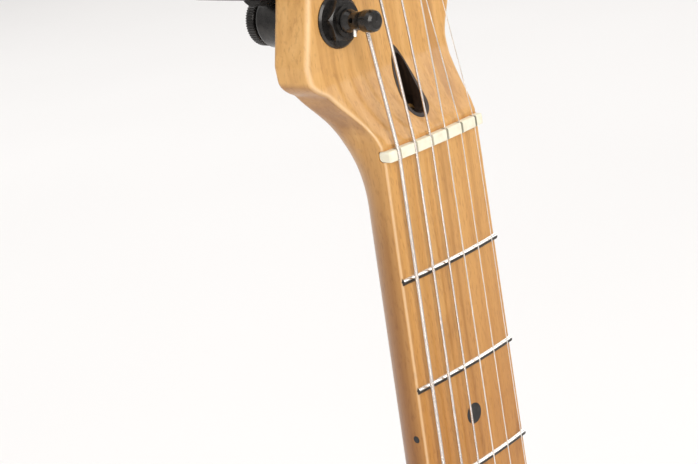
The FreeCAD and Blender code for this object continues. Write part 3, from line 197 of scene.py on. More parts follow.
class Finish:
    """A procedural material under construction."""

    def __init__(self, name, roughness=0.5, metallic=0.0, coat=0.0, coat_roughness=0.1, sheen=0.0):
        self.material = bpy.data.materials.new(name)
        self.material.use_nodes = True
        tree = self.material.node_tree
        self.nodes, self.links = tree.nodes, tree.links
        self.shader = self.nodes["Principled BSDF"]
        self.preset(self.shader, Roughness=roughness, Metallic=metallic, Coat_Weight=coat,
                    Coat_Roughness=coat_roughness, Sheen_Weight=sheen)
        self.place = self.node("TexCoord").outputs["Object"]
        self.bumps = None

    def preset(self, node, **values):
        """Sets a node's own inputs; an underscore stands for a space."""
        for name, value in values.items():
            node.inputs[name.replace("_", " ")].default_value = value

    def node(self, kind, **values):
        """A new shader node with some of its inputs set."""
        made = self.nodes.new("ShaderNode" + kind)
        self.preset(made, **values)
        return made

    def stretched(self, scale, turn=(0, 0, 0)):
        """Object coordinates turned and scaled."""
        mapping = self.node("Mapping", Scale=scale, Rotation=turn)
        self.links.new(self.place, mapping.inputs["Vector"])
        return mapping.outputs[0]

    def noise(self, scale, detail, vector=None, distortion=0.0, roughness=0.5):
        """A noise field."""
        node = self.node("TexNoise", Scale=scale, Detail=detail, Distortion=distortion,
                         Roughness=roughness)
        self.links.new(vector or self.place, node.inputs["Vector"])
        return node.outputs["Fac"]

    def ramp(self, value, stops):
        """A value turned into a colour."""
        node = self.node("ValToRGB")
        band = node.color_ramp
        while len(band.elements) < len(stops):
            band.elements.new(0.5)
        for element, (place, colour) in zip(band.elements, stops):
            element.position = place
            element.color = (*colour, 1)
        self.links.new(value, node.inputs[0])
        return node.outputs[0]

    def grey(self, value, low, high, dark=0.0, bright=1.0):
        """A value spread between two levels."""
        node = self.node("MapRange", From_Min=low, From_Max=high, To_Min=dark, To_Max=bright)
        self.links.new(value, node.inputs["Value"])
        return node.outputs[0]

    def mixed(self, first, second, share, mode="MIX"):
        """Two colours mixed by a share that is a number or a field."""
        node = self.node("Mix")
        node.data_type = "RGBA"
        node.blend_type = mode
        for socket, value in zip((node.inputs[i] for i in MIX_SOCKETS), (first, second, share)):
            if isinstance(value, bpy.types.NodeSocket):
                self.links.new(value, socket)
            elif isinstance(value, tuple):
                socket.default_value = (*value, 1)
            else:
                socket.default_value = value
        return node.outputs[2]

    def math(self, operation, first, second):
        """One sum on two values."""
        node = self.node("Math")
        node.operation = operation
        for socket, value in zip(node.inputs, (first, second)):
            if isinstance(value, bpy.types.NodeSocket):
                self.links.new(value, socket)
            else:
                socket.default_value = value
        return node.outputs[0]

    def axes(self, vector):
        """A vector's three parts, by name."""
        node = self.node("SeparateXYZ")
        self.links.new(vector, node.inputs[0])
        return node.outputs

    def facing(self):
        """The three parts of the surface's direction."""
        return self.axes(self.node("NewGeometry").outputs["Normal"])

    def stored(self, name):
        """A number stored on the piece's points."""
        node = self.node("Attribute")
        node.attribute_name = name
        return node.outputs["Fac"]

    def colour(self, value):
        """Sets the base colour."""
        self.links.new(value, self.shader.inputs["Base Color"])

    def rough(self, value):
        """Sets the roughness from a field."""
        self.links.new(value, self.shader.inputs["Roughness"])

    def bump(self, height, strength, distance):
        """Adds one layer of relief."""
        node = self.node("Bump", Strength=strength, Distance=distance)
        self.links.new(height, node.inputs["Height"])
        if self.bumps is not None:
            self.links.new(self.bumps, node.inputs["Normal"])
        self.bumps = node.outputs[0]
        self.links.new(self.bumps, self.shader.inputs["Normal"])


def maple():
    """Amber lacquered maple: growth lines, soft figure and ray flecks, darker patches on the board,
    painted shade on the neck's side and underside, and a painted highlight along the face's edge."""
    wood = Finish("maple", roughness=0.48, coat=0.34, coat_roughness=0.09)
    wood.preset(wood.shader, Specular_IOR_Level=0.22)
    grain = wood.noise(1.0, 5, wood.stretched((420, 260, 5.5)), distortion=0.35, roughness=0.62)
    rings = wood.noise(1.0, 3, wood.stretched((95, 50, 1.3)), distortion=0.5, roughness=0.55)
    broad = wood.noise(1.0, 2, wood.stretched((16, 12, 2.6)), distortion=0.5)
    base = wood.ramp(grain, ((0.30, (0.62, 0.325, 0.105)), (0.50, (0.73, 0.405, 0.138)),
                             (0.70, (0.79, 0.460, 0.172))))
    shade = wood.ramp(broad, ((0.3, (0.90, 0.86, 0.80)), (0.7, (1.0, 1.0, 1.0))))
    toned = wood.mixed(base, shade, 0.8, "MULTIPLY")
    ringed = wood.mixed(toned, (0.40, 0.19, 0.065), wood.grey(rings, 0.56, 0.68, 0.0, 0.50))
    smudge = wood.noise(1.0, 3, wood.stretched((26, 26, 60)), distortion=1.2)
    figured = wood.mixed(ringed, (0.42, 0.21, 0.08), wood.grey(smudge, 0.60, 0.76, 0.0, 0.22))
    fleck = wood.noise(1.0, 2, wood.stretched((1900, 1100, 380), (0, math.radians(-32), 0)))
    dark_fleck = wood.grey(fleck, 0.54, 0.68, 0.0, 0.36)
    speckled = wood.mixed(figured, (0.42, 0.20, 0.065), dark_fleck)
    place = wood.axes(wood.place)
    board = wood.grey(place["Z"], -0.09, 0.012, 1.0, 0.0)
    # Darker patches on the board, and its darker tint below the nut.
    board_patches = wood.noise(1.0, 2, wood.stretched((48, 20, 26)), distortion=0.6)
    tone = wood.mixed((0.70, 0.57, 0.40), (0.47, 0.33, 0.19), wood.grey(board_patches, 0.52, 0.68))
    board_tint = wood.mixed((1.0, 1.0, 1.0), tone, board)
    aged = wood.mixed(speckled, board_tint, 1.0, "MULTIPLY")
    # Painted shade: the neck's side and back below the nut, and every face that looks downwards, are
    # darkened in the colour.
    deep = wood.grey(place["Y"], CROWN_Y + 0.0012, CROWN_Y + 0.0045)
    side_shade = wood.math("MULTIPLY", deep, wood.grey(place["Z"], 0.030, -0.030))
    underside = wood.grey(wood.facing()["Z"], -0.10, -0.50)
    darker = wood.mixed(aged, (0.62, 0.55, 0.48), wood.math("MAXIMUM", side_shade, underside), "MULTIPLY")
    # Painted highlight: a pale band along the rounded front edge, from the stored edge share, stands in
    # for the lacquer's reflection there.
    edge_highlight = wood.math("MULTIPLY", wood.stored("edge"), 0.42)
    wood.colour(wood.mixed(darker, (0.98, 0.76, 0.50), edge_highlight))
    wood.rough(wood.grey(broad, 0.3, 0.7, 0.34, 0.46))
    wood.bump(fleck, 0.06, 0.0001)
    wood.bump(wood.noise(70, 2), 0.05, 0.001)
    return wood.material


def walnut():
    """Dark, open-grained walnut."""
    wood = Finish("walnut", roughness=0.5, coat=0.12, coat_roughness=0.2)
    grain = wood.noise(1.0, 5, wood.stretched((700, 500, 22)), distortion=0.5)
    wood.colour(wood.ramp(grain, ((0.35, (0.010, 0.006, 0.004)), (0.6, (0.036, 0.019, 0.011)),
                                  (0.8, (0.075, 0.040, 0.022)))))
    wood.bump(grain, 0.3, 0.0002)
    return wood.material


def bone():
    """Polished bone with faint pores and painted shade round each string."""
    stuff = Finish("bone", roughness=0.34, coat=0.25, coat_roughness=0.2)
    stuff.preset(stuff.shader, Subsurface_Weight=0.15, Subsurface_Radius=(0.002, 0.0016, 0.001))
    cloud = stuff.noise(420, 4)
    clean = stuff.ramp(cloud, ((0.3, (0.80, 0.75, 0.58)), (0.65, (0.90, 0.86, 0.69))))
    pitch = NUT_SPREAD / 5
    across = stuff.math("ADD", stuff.axes(stuff.place)["X"], pitch * 10.5 * MM)
    to_string = stuff.math("PINGPONG", across, pitch / 2 * MM)
    # Painted shade: the bone darkens within a band round each string's slot.
    slot_shade = stuff.grey(to_string, 0.0003, 0.0006, 0.7, 0.0)
    stuff.colour(stuff.mixed(clean, (0.05, 0.04, 0.03), slot_shade))
    pores = stuff.noise(2600, 2)
    stuff.bump(pores, 0.15, 0.0001)
    return stuff.material


def metal(name, colour, roughness):
    """Metal with fine rubbing marks and a slightly uneven polish."""
    stuff = Finish(name, roughness=roughness, metallic=1.0)
    haze = stuff.noise(900, 3)
    low, high = tuple(c * 0.86 for c in colour), tuple(min(1, c * 1.06) for c in colour)
    stuff.colour(stuff.ramp(haze, ((0.35, low), (0.65, high))))
    stuff.rough(stuff.grey(haze, 0.3, 0.7, roughness * 0.75, roughness * 1.35))
    stuff.bump(stuff.noise(1.0, 2, stuff.stretched((6000, 6000, 600))), 0.25, 0.00004)
    return stuff.material


def fret_metal():
    """Polished fret wire with painted shade: dark along the flank that looks towards the body."""
    stuff = Finish("fret_wire", roughness=0.2, metallic=1.0)
    haze = stuff.noise(900, 3)
    bright = stuff.ramp(haze, ((0.35, (0.88, 0.86, 0.81)), (0.65, (0.96, 0.94, 0.90))))
    # Painted shade: the flank that faces down, towards the body, is made near black and rougher.
    flank = stuff.grey(stuff.facing()["Z"], 0.34, 0.10, 0.0, 0.95)
    stuff.colour(stuff.mixed(bright, (0.030, 0.022, 0.016), flank))
    stuff.rough(stuff.mixed((0.22, 0.22, 0.22), (0.5, 0.5, 0.5), flank))
    stuff.bump(stuff.noise(1.0, 2, stuff.stretched((300, 6000, 6000))), 0.05, 0.00002)
    return stuff.material


def black_metal():
    """Satin black plating: dark, slightly brown, polished a little by handling."""
    stuff = Finish("black_hardware", roughness=0.28, metallic=0.65, coat=0.3, coat_roughness=0.12)
    haze = stuff.noise(500, 4)
    stuff.colour(stuff.ramp(haze, ((0.35, (0.018, 0.016, 0.015)), (0.7, (0.040, 0.036, 0.033)))))
    stuff.rough(stuff.grey(haze, 0.3, 0.7, 0.22, 0.36))
    stuff.bump(stuff.noise(3500, 2), 0.08, 0.00005)
    return stuff.material


def black_plastic(name, roughness, grain, strength, coat=0.0):
    """Moulded black plastic with a fine texture."""
    stuff = Finish(name, roughness=roughness, coat=coat, coat_roughness=0.08)
    cloud = stuff.noise(120, 3)
    stuff.colour(stuff.ramp(cloud, ((0.3, (0.010, 0.010, 0.010)), (0.7, (0.020, 0.019, 0.018)))))
    stuff.rough(stuff.grey(stuff.noise(700, 3), 0.3, 0.7, roughness * 0.8, roughness * 1.25))
    stuff.bump(stuff.noise(grain, 2), strength, 0.00006)
    return stuff.material


def one_tone(name, scale, detail, low, high, relief=0.0, **finish):
    """A finish whose tone drifts between two colours; a scale of three numbers stretches it."""
    stuff = Finish(name, **finish)
    if isinstance(scale, tuple):
        tone = stuff.noise(1.0, detail, stuff.stretched(scale))
    else:
        tone = stuff.noise(scale, detail)
    stuff.colour(stuff.ramp(tone, ((0.3, low), (0.7, high))))
    if relief:
        stuff.bump(tone, relief, 0.0001)
    return stuff.material


def burst_lacquer():
    """Sunburst lacquer over ash: amber in the middle, then red-brown, near black at the edge."""
    wood = Finish("body_finish", roughness=0.3, coat=0.7, coat_roughness=0.05)
    wood.preset(wood.shader, Specular_IOR_Level=0.2)
    lines = wood.noise(1.0, 5, wood.stretched((130, 80, 3.4)), distortion=1.1, roughness=0.55)
    pores = wood.noise(1.0, 4, wood.stretched((900, 600, 26)), distortion=0.4)
    amber = wood.ramp(lines, ((0.34, (0.40, 0.150, 0.026)), (0.50, (0.60, 0.27, 0.050)),
                              (0.66, (0.70, 0.35, 0.075))))
    veined = wood.mixed(amber, (0.16, 0.055, 0.012), wood.grey(pores, 0.52, 0.68, 0.0, 0.55))
    cloud = wood.math("MULTIPLY", wood.noise(9.0, 3), 0.05)
    depth = wood.math("ADD", wood.stored("inset"), cloud)
    shade = wood.ramp(depth, ((0.10, (0.008, 0.005, 0.004)), (0.27, (0.045, 0.010, 0.004)),
                              (0.45, (0.42, 0.12, 0.035)), (0.75, (1.0, 0.86, 0.70))))
    wood.colour(wood.mixed(veined, shade, 1.0, "MULTIPLY"))
    wood.bump(pores, 0.04, 0.0001)
    return wood.material


def layered_plastic():
    """Three-ply plate stock: a gloss black face over a white core and a black backing."""
    stuff = Finish("guard_ply", roughness=0.22, coat=0.15, coat_roughness=0.06)
    stuff.preset(stuff.shader, Specular_IOR_Level=0.35)
    level = stuff.grey(stuff.axes(stuff.place)["Y"], GUARD_LOW, GUARD_HIGH)
    layers = stuff.ramp(level, ((0.0, (0.012, 0.012, 0.012)), (0.30, (0.80, 0.78, 0.72)),
                                (0.68, (0.012, 0.012, 0.012))))
    layers.node.color_ramp.interpolation = "CONSTANT"
    stuff.colour(layers)
    stuff.rough(stuff.grey(stuff.noise(260, 4), 0.35, 0.7, 0.13, 0.24))
    stuff.bump(stuff.noise(1500, 2), 0.02, 0.00005)
    return stuff.material


WINDING_PITCH = 0.45 * MM


def wound_wire():
    """Bright wound string wire: fine turns across its length, with painted shade between them."""
    stuff = Finish("wound_wire", roughness=0.24, metallic=1.0)
    wave = stuff.node("TexWave", Scale=2 * math.pi / (20 * WINDING_PITCH))
    wave.bands_direction = "Z"
    stuff.links.new(stuff.stretched((1, 1, 1), (math.radians(6), 0, 0)), wave.inputs["Vector"])
    tone = stuff.noise(1.0, 3, stuff.stretched((300, 300, 40)))
    bright = stuff.ramp(tone, ((0.3, (0.62, 0.56, 0.52)), (0.7, (0.78, 0.72, 0.67))))
    # Painted shade: the colour darkens in the grooves between the turns.
    groove_shade = stuff.grey(wave.outputs["Fac"], 0.35, 0.0, 0.0, 0.5)
    stuff.colour(stuff.mixed(bright, (0.40, 0.34, 0.30), groove_shade))
    stuff.bump(wave.outputs["Fac"], 0.7, 0.00008)
    return stuff.material


SLOTS = {
    "maple": maple(),
    "walnut": walnut(),
    "bone": bone(),
    "fret_wire": fret_metal(),
    "string_wire": one_tone("string_wire", (400, 400, 60), 3, (0.80, 0.74, 0.68),
                            (0.95, 0.91, 0.86), roughness=0.3, metallic=1.0),
    "black_hardware": black_metal(),
    "dot_black": black_plastic("dot_black", 0.55, 2000, 0.05),
    "guard_black": layered_plastic(),
    "cover_black": black_plastic("cover_black", 0.42, 4200, 0.25),
    "knob_black": black_plastic("knob_black", 0.35, 3000, 0.15, coat=0.2),
    "fibre_black": black_plastic("fibre_black", 0.7, 2500, 0.3),
    "plain_steel": metal("plain_steel", (0.56, 0.55, 0.54), 0.34),
    "nickel": metal("nickel", (0.72, 0.70, 0.66), 0.2),
    "coil_wire": one_tone("coil_wire", (300, 9000, 300), 2, (0.30, 0.09, 0.03),
                          (0.62, 0.26, 0.11), 0.6, roughness=0.35, metallic=1.0, coat=0.6),
    "wire_cloth": one_tone("wire_cloth", 2500, 2, (0.45, 0.40, 0.28), (0.70, 0.66, 0.52), 0.5,
                           roughness=0.8, sheen=0.3),
    "body_finish": burst_lacquer(),
}
WOUND = wound_wire()

# How far the edges of these nodes are broken, in millimetres.
EDGE_BREAKS = {"tuner_bushings": 0.22, "bridge_plate": 0.3, "neck_plate": 0.3, "saddles": 0.25,
               "jack_plate": 0.2, "pickguard": 0.9}
HARD_EDGE = math.radians(38)


def dress_cad_nodes():
    """Every CAD node gets the finish of its slot; hard edges of the hardware are broken a little."""
    slots = {part["node"]: part["material_slot"] for part in frame["record"]["subparts"]}
    for name, node in frame["nodes"].items():
        material = WOUND if name == "wound_strings" else SLOTS[slots[name]]
        for slot in node.material_slots:
            slot.link = "OBJECT"
            slot.material = material
        if name in EDGE_BREAKS:
            bevel = node.modifiers.new("edge_break", "BEVEL")
            bevel.limit_method = "ANGLE"
            bevel.angle_limit = HARD_EDGE
            bevel.width = EDGE_BREAKS[name] * MM
            bevel.segments = 2


# ---- mesh tools

SMOOTH_UP_TO = 35.0           # degrees


def new_piece(name, vertices, faces, body, slot, sharp=SMOOTH_UP_TO, material=None):
    """A mesh piece in its slot's finish, smooth up to an angle, riding on a body."""
    mesh = bpy.data.meshes.new(name)
    mesh.from_pydata(vertices, [], faces)
    mesh.validate()
    piece = bpy.data.objects.new(name, mesh)
    bpy.context.scene.collection.objects.link(piece)
    mesh.materials.append(material or SLOTS[slot])
    finish_shading(mesh, sharp)
    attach(piece, body)
    return piece


def finish_shading(mesh, sharp):
    """Smooth faces with creases kept above an angle."""
    for polygon in mesh.polygons:
        polygon.use_smooth = True
    mesh.set_sharp_from_angle(angle=math.radians(sharp))


def store(piece, name, values):
    """Keeps one number per point of a piece, for its material."""
    layer = piece.data.attributes.new(name, "FLOAT", "POINT")
    layer.data.foreach_set("value", values)


def crisp(piece):
    """Shading normals that follow the large faces, so a small rounding stays narrow."""
    modifier = piece.modifiers.new("crisp", "WEIGHTED_NORMAL")
    modifier.keep_sharp = True
    modifier.weight = 80


def carved(piece, cutters):
    """The piece with cutter meshes taken out of it."""
    for cutter in cutters:
        modifier = piece.modifiers.new("carve", "BOOLEAN")
        modifier.operation = "DIFFERENCE"
        modifier.solver = "EXACT"
        modifier.object = cutter
    view = bpy.context.evaluated_depsgraph_get()
    mesh = bpy.data.meshes.new_from_object(piece.evaluated_get(view))
    piece.modifiers.clear()
    piece.data = mesh
    for cutter in cutters:
        bpy.data.objects.remove(cutter)
    finish_shading(mesh, SMOOTH_UP_TO)


def joined(cutters):
    """Several separate cutters as one."""
    shape = bmesh.new()
    for cutter in cutters:
        shape.from_mesh(cutter.data)
    shape.to_mesh(cutters[0].data)
    shape.free()
    for cutter in cutters[1:]:
        bpy.data.objects.remove(cutter)
    return cutters[0]


def prism(loop, offset):
    """The points and faces of a closed prism between a loop and the same loop moved by an offset."""
    count = len(loop)
    points = [Vector(p) for p in loop] + [Vector(p) + Vector(offset) for p in loop]
    faces = [tuple(range(count)), tuple(reversed(range(count, 2 * count)))]
    faces += [(i, i + count, (i + 1) % count + count, (i + 1) % count) for i in range(count)]
    return points, faces


def face_outwards(mesh):
    """Turns every face of a closed mesh outwards."""
    shape = bmesh.new()
    shape.from_mesh(mesh)
    bmesh.ops.recalc_face_normals(shape, faces=shape.faces)
    shape.to_mesh(mesh)
    shape.free()


def cutter_prism(loop, offset):
    """A prism that cuts; carved() removes it again."""
    points, faces = prism(loop, offset)
    mesh = bpy.data.meshes.new("cutter")
    mesh.from_pydata(points, [], faces)
    face_outwards(mesh)
    cutter = bpy.data.objects.new("cutter", mesh)
    bpy.context.scene.collection.objects.link(cutter)
    return cutter


def square_to(axis):
    """An axis as a unit vector, and two directions square to it and to each other."""
    axis = Vector(axis).normalized()
    side = axis.orthogonal().normalized()
    return axis, side, axis.cross(side)


def circle_points(centre, axis, radius, count=48):
    """Points round a circle square to an axis."""
    _, side, other = square_to(axis)
    turns = [2 * math.pi * i / count for i in range(count)]
    return [Vector(centre) + side * radius * math.cos(a) + other * radius * math.sin(a)
            for a in turns]


def sleeve_faces(rings, sides, base=0):
    """The faces of a closed bar made of rings of points, one after another."""
    faces = []
    for ring in range(rings - 1):
        for step in range(sides):
            a, b = base + ring * sides + step, base + ring * sides + (step + 1) % sides
            faces.append((a, b, b + sides, a + sides))
    faces.append(tuple(base + k for k in reversed(range(sides))))
    faces.append(tuple(base + (rings - 1) * sides + k for k in range(sides)))
    return faces


def tube(path, radius, sides):
    """The points and faces of a round bar along a list of points, closed at both ends."""
    vertices = []
    side = None
    for index, point in enumerate(path):
        ahead = path[min(index + 1, len(path) - 1)] - path[max(index - 1, 0)]
        ahead.normalize()
        side = ahead.orthogonal() if side is None else side - ahead * side.dot(ahead)
        side.normalize()
        other = ahead.cross(side)
        for step in range(sides):
            a = 2 * math.pi * step / sides
            vertices.append(point + (side * math.cos(a) + other * math.sin(a)) * radius)
    return vertices, sleeve_faces(len(path), sides)


def spot(across, along, height):
    """A point in the guitar's own terms, in millimetres: across, along and above the crown."""
    return Vector((across * MM, CROWN_Y - height * MM, along * MM))


def string_across(index, spread):
    """How far a string lies from the middle, where all six take up a spread."""
    return spread * (index / 5 - 0.5)


def plain_points(mesh):
    """A mesh's points as an array in millimetres."""
    points = np.empty(len(mesh.vertices) * 3)
    mesh.vertices.foreach_get("co", points)
    return points.reshape(-1, 3) / MM


# ---- the neck

def side_edges(node, stations):
    """The lowest and highest X of a CAD node on level slices, in millimetres."""
    mesh = frame["nodes"][node].data
    pairs = np.empty(len(mesh.edges) * 2, dtype=int)
    mesh.edges.foreach_get("vertices", pairs)
    ends = plain_points(mesh)[pairs.reshape(-1, 2)]
    lower, upper = ends[:, :, 2].min(axis=1), ends[:, :, 2].max(axis=1)
    left, right = [], []
    for level in stations:
        crossing = ends[(lower <= level) & (upper >= level) & (upper > lower)]
        share = (level - crossing[:, 0, 2]) / (crossing[:, 1, 2] - crossing[:, 0, 2])
        x = crossing[:, 0, 0] + share * (crossing[:, 1, 0] - crossing[:, 0, 0])
        left.append(x.min())
        right.append(x.max())
    return np.array(left), np.array(right)


def swell(along, middle, spread):
    """A smooth bump along the neck."""
    return np.exp(-((along - middle) / spread) ** 2)


def eased(value, start, end):
    """0 before start, 1 after end, smooth between."""
    t = np.clip((value - start) / (end - start), 0, 1)
    return t * t * (3 - 2 * t)


def front_height(across, along):
    """The height of the neck's front over its whole plan: board, ramp, headstock's face."""
    drop = -HEAD_FACE / MM
    crown = -across ** 2 / (2 * BOARD_RADIUS / MM)
    reach = np.clip((RAMP_END - along) / (RAMP_END - RAMP_START), 0, 1)
    ramp = drop + (RAMP_TOP - drop) * reach ** RAMP_POWER
    flat = eased(along, NUT_BACK, RAMP_START + 4)
    height = np.where(along > RAMP_START, ramp, RAMP_TOP) + crown * (1 - flat)
    return np.where(along <= NUT_BACK, crown, height)


HEEL_THICK, HEEL_BLEND = 24.0, (-386, -336)
SHAFT_THICK, SHAFT_GAIN, SHAFT_LENGTH = 21.0, 2.0, 389
HEAD_BLEND = (-16, 24)        # where the round back turns into the headstock's flat one
HEAD_THICKENS = (-6, 22)
HEAD_SIDE = -36.5             # the headstock's bass side
CORNER_BELOW = 31.4           # the bass corner is fuller below this level
CORNER_SWELL = {"add": (11.5, 5.0), "take": (25.2, 2.8)}   # middle and spread along the neck
BACK_ROUND = 2.6              # the headstock's and heel's rear edge
SHAFT_STRAIGHT = 4.2          # depth of the straight side under the board
SKIN_UNDER = 0.03             # the skin lies this far under the CAD's face
NECK_COLUMNS = 72


def neck_stations():
    """Levels along the neck, closer where its shape changes."""
    heel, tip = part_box("neck")[0][2] / MM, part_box("neck")[1][2] / MM
    levels = list(np.linspace(heel + 0.02, -335, 46)) + list(np.linspace(-330, -24, 62))
    levels += list(np.linspace(-22, 3, 34)) + [NUT_BACK, NUT_BACK + 0.02]
    levels += list(np.linspace(3.8, 44, 90)) + list(np.linspace(45.5, 168, 84))
    levels += list(tip - 0.02 - (tip - 168.8) * (1 - np.sin(np.linspace(0, math.pi / 2, 40)[:-1])))
    return np.array(levels + [tip - 0.02])


def make_neck():
    """The maple neck: one skin for the board, the back and the headstock."""
    levels = neck_stations()
    left, right = side_edges("neck", levels)
    count = len(levels)
    blend = (levels > -30) & (levels < 60)
    kernel = np.array([1, 4, 6, 4, 1]) / 16
    for edge in (left, right):
        smooth = np.convolve(edge, kernel, "same")
        edge[blend] = smooth[blend]
    left += 0.5 * swell(levels, *CORNER_SWELL["add"])
    fuller = np.maximum(left - swell(levels, *CORNER_SWELL["take"]), HEAD_SIDE)
    left = np.where(levels < CORNER_BELOW, fuller, left)
    columns = NECK_COLUMNS
    across_share = -np.cos(np.linspace(0, math.pi, columns))
    middle, half = (left + right) / 2, np.maximum((right - left) / 2, 0.02)
    across = middle[:, None] + half[:, None] * across_share[None, :]
    along = np.repeat(levels[:, None], columns, axis=1)
    outline = np.concatenate((np.stack((left, levels), 1), np.stack((right, levels), 1)[::-1]))
    inset = distance_inside(np.stack((across, along), -1).reshape(-1, 2), outline).reshape(across.shape)
    head = eased(levels, *HEAD_BLEND)[:, None]
    heel = (1 - eased(levels, *HEEL_BLEND))[:, None]
    top_round = 0.8 + 0.9 * eased(levels, 6, 24)[:, None]
    fall = np.maximum(top_round - inset, 0)
    front = front_height(across, along) - SKIN_UNDER
    front = front - (top_round - np.sqrt(np.maximum(top_round ** 2 - fall ** 2, 0)))
    thick = SHAFT_THICK + SHAFT_GAIN * np.clip(-levels / SHAFT_LENGTH, 0, 1)[:, None]
    thick = thick + (HEAD_BACK / MM - thick) * eased(levels, *HEAD_THICKENS)[:, None]
    thick = thick + (HEEL_THICK - thick) * heel
    corner = BACK_ROUND + (half[:, None] - BACK_ROUND) * (1 - head) ** 1.6 * (1 - heel)
    corner = np.maximum(np.minimum(corner, half[:, None]), 0.02)
    straight_side = thick - BACK_ROUND - SHAFT_STRAIGHT
    straight = SHAFT_STRAIGHT + straight_side * np.maximum(head ** 1.5, heel)
    share = np.clip(1 - inset / corner, 0, 1)
    back = -(straight + (thick - straight) * np.sqrt(1 - share ** 2))
    back = np.minimum(back, front - 0.4)
    total = count * columns
    points = [spot(*values) for height in (front, back)
              for values in zip(across.ravel(), along.ravel(), height.ravel())]
    faces = []
    for row in range(count - 1):
        for column in range(columns - 1):
            a, b = row * columns + column, row * columns + column + 1
            faces.append((a, b, b + columns, a + columns))
            faces.append((a + total, a + columns + total, b + columns + total, b + total))
        a, b = row * columns, row * columns + columns - 1
        faces.append((a, a + columns, a + columns + total, a + total))
        faces.append((b, b + total, b + columns + total, b + columns))
    last = (count - 1) * columns
    for column in range(columns - 1):
        faces.append((column, column + total, column + 1 + total, column + 1))
        a = last + column
        faces.append((a, a + 1, a + 1 + total, a + total))
    neck = new_piece("neck_wood", points, faces, "guitar", "maple", 40)
    mouth = [spot(x, z, 4) for x, z in teardrop_points()]
    opening = cutter_prism(mouth, (0, OPENING_DEPTH * MM, 0))
    rim = circle_points(spot(0, -10, -ROD_DEPTH), (0, 0, 1), ROD_BORE * MM)
    bore = cutter_prism(rim, (0, 0, 22 * MM))
    seat = [spot(-40, along, height) for along, height in nut_section(NUT_TOP)]
    slot = cutter_prism(seat, (80 * MM, 0, 0))
    # Painted highlight: the share of the pale band along the rounded front edge, stored for the maple's
    # colour.
    glow = np.exp(-((inset - 0.45 * top_round) / (0.36 * top_round)) ** 2) * (inset > 0.05)
    store(neck, "edge", np.concatenate((glow.ravel(), np.zeros(total))))
    carved(neck, [slot, opening, bore])
    crisp(neck)
    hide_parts("neck")


def teardrop_points():
    """The truss-rod opening's outline: round by the nut, pointed towards the tip."""
    turns = np.linspace(math.pi, 2 * math.pi, 25)
    points = [(OPENING_RADIUS * math.cos(a),
               OPENING_CENTRE + OPENING_STRETCH * (1 + math.sin(a)) + OPENING_RADIUS * math.sin(a))
              for a in turns]
    t = np.linspace(0, 1, 15)[1:]
    shares = ((1 - t) ** 3, 3 * (1 - t) ** 2 * t, 3 * (1 - t) * t ** 2, t ** 3)
    x, z = (sum(share * pole[k] for share, pole in zip(shares, OPENING_SIDE)) for k in (0, 1))
    points += list(zip(x, z))
    return points + [(-x, z) for x, z in points[25:-1]][::-1]


def distance_inside(points, outline):
    """How far each plan point lies from a closed outline."""
    start, end = outline, np.roll(outline, -1, axis=0)
    run = end - start
    length = np.maximum((run ** 2).sum(1), 1e-12)
    nearest = np.full(len(points), 1e9)
    for first in range(0, len(points), 4000):
        chunk = points[first:first + 4000]
        offset = chunk[:, None, :] - start[None]
        share = np.clip((offset * run[None]).sum(2) / length, 0, 1)
        gap = offset - share[:, :, None] * run[None]
        nearest[first:first + 4000] = np.sqrt((gap ** 2).sum(2).min(1))
    return nearest


# ---- the body

PLAN_DEPTH = 5.6              # the plan is read this far from the back, past its rounding


def body_outline(spacing):
    """The body's plan as evenly spaced points in millimetres, read from the CAD body's side."""
    source = frame["nodes"]["body_wood"]
    shape = bmesh.new()
    shape.from_mesh(source.data)
    level = BODY_HIGH[1] - PLAN_DEPTH * MM
    cut = bmesh.ops.bisect_plane(shape, geom=shape.verts[:] + shape.edges[:] + shape.faces[:],
                                 plane_co=(0, level, 0), plane_no=(0, 1, 0))["geom_cut"]
    links = {}
    for edge in (item for item in cut if isinstance(item, bmesh.types.BMEdge)):
        a, b = ((round(v.co.x / MM, 3), round(v.co.z / MM, 3)) for v in edge.verts)
        if a != b:
            links.setdefault(a, set()).add(b)
            links.setdefault(b, set()).add(a)
    shape.free()
    start = min(links, key=lambda p: p[0])
    loop, before = [start], None
    while True:
        onward = [p for p in links[loop[-1]] if p != before]
        before = loop[-1]
        if not onward or onward[0] == start:
            break
        loop.append(onward[0])
    loop = np.array(loop)
    closed = np.concatenate((loop, loop[:1]))
    walked = np.concatenate(([0], np.cumsum(np.sqrt((np.diff(closed, axis=0) ** 2).sum(1)))))
    steps = np.linspace(0, walked[-1], int(walked[-1] / spacing) + 1)[:-1]
    plan = np.stack([np.interp(steps, walked, closed[:, k]) for k in (0, 1)], 1)
    area = (plan[:, 0] * np.roll(plan[:, 1], -1) - np.roll(plan[:, 0], -1) * plan[:, 1]).sum()
    return plan if area > 0 else plan[::-1]


def inward_normals(plan):
    """The direction into the body at each point of its anticlockwise plan."""
    run = np.roll(plan, -1, axis=0) - np.roll(plan, 1, axis=0)
    run /= np.sqrt((run ** 2).sum(1))[:, None]
    return np.stack((-run[:, 1], run[:, 0]), 1)


# How deep each contour is, and where it runs in, in millimetres from the neck's middle, the nut
# and the body's edge.
FOREARM = {"deep": 11.0, "across": (62, 150), "upper": (560, 640), "lower": (800, 860), "inset": (4, 62)}
BELLY = {"deep": 13.0, "across": (40, 135), "upper": (420, 500), "lower": (600, 690), "inset": (2, 62)}
EDGE_ROUND = 5.2
PLAN_STEP, GRID_STEP, RIM_CLEAR = 3.0, 6.0, 3.0
BURST_REACH = 100.0           # the sunburst's inset is stored as a share of this


def contour_dip(contour, plan, inset):
    """How far the body's face falls in one of its contours."""
    across, along = -plan[:, 0], -plan[:, 1]
    side = eased(across, *contour["across"]) * eased(along, *contour["upper"])
    side = side * (1 - eased(along, *contour["lower"]))
    return contour["deep"] * side * (1 - eased(inset, *contour["inset"]))


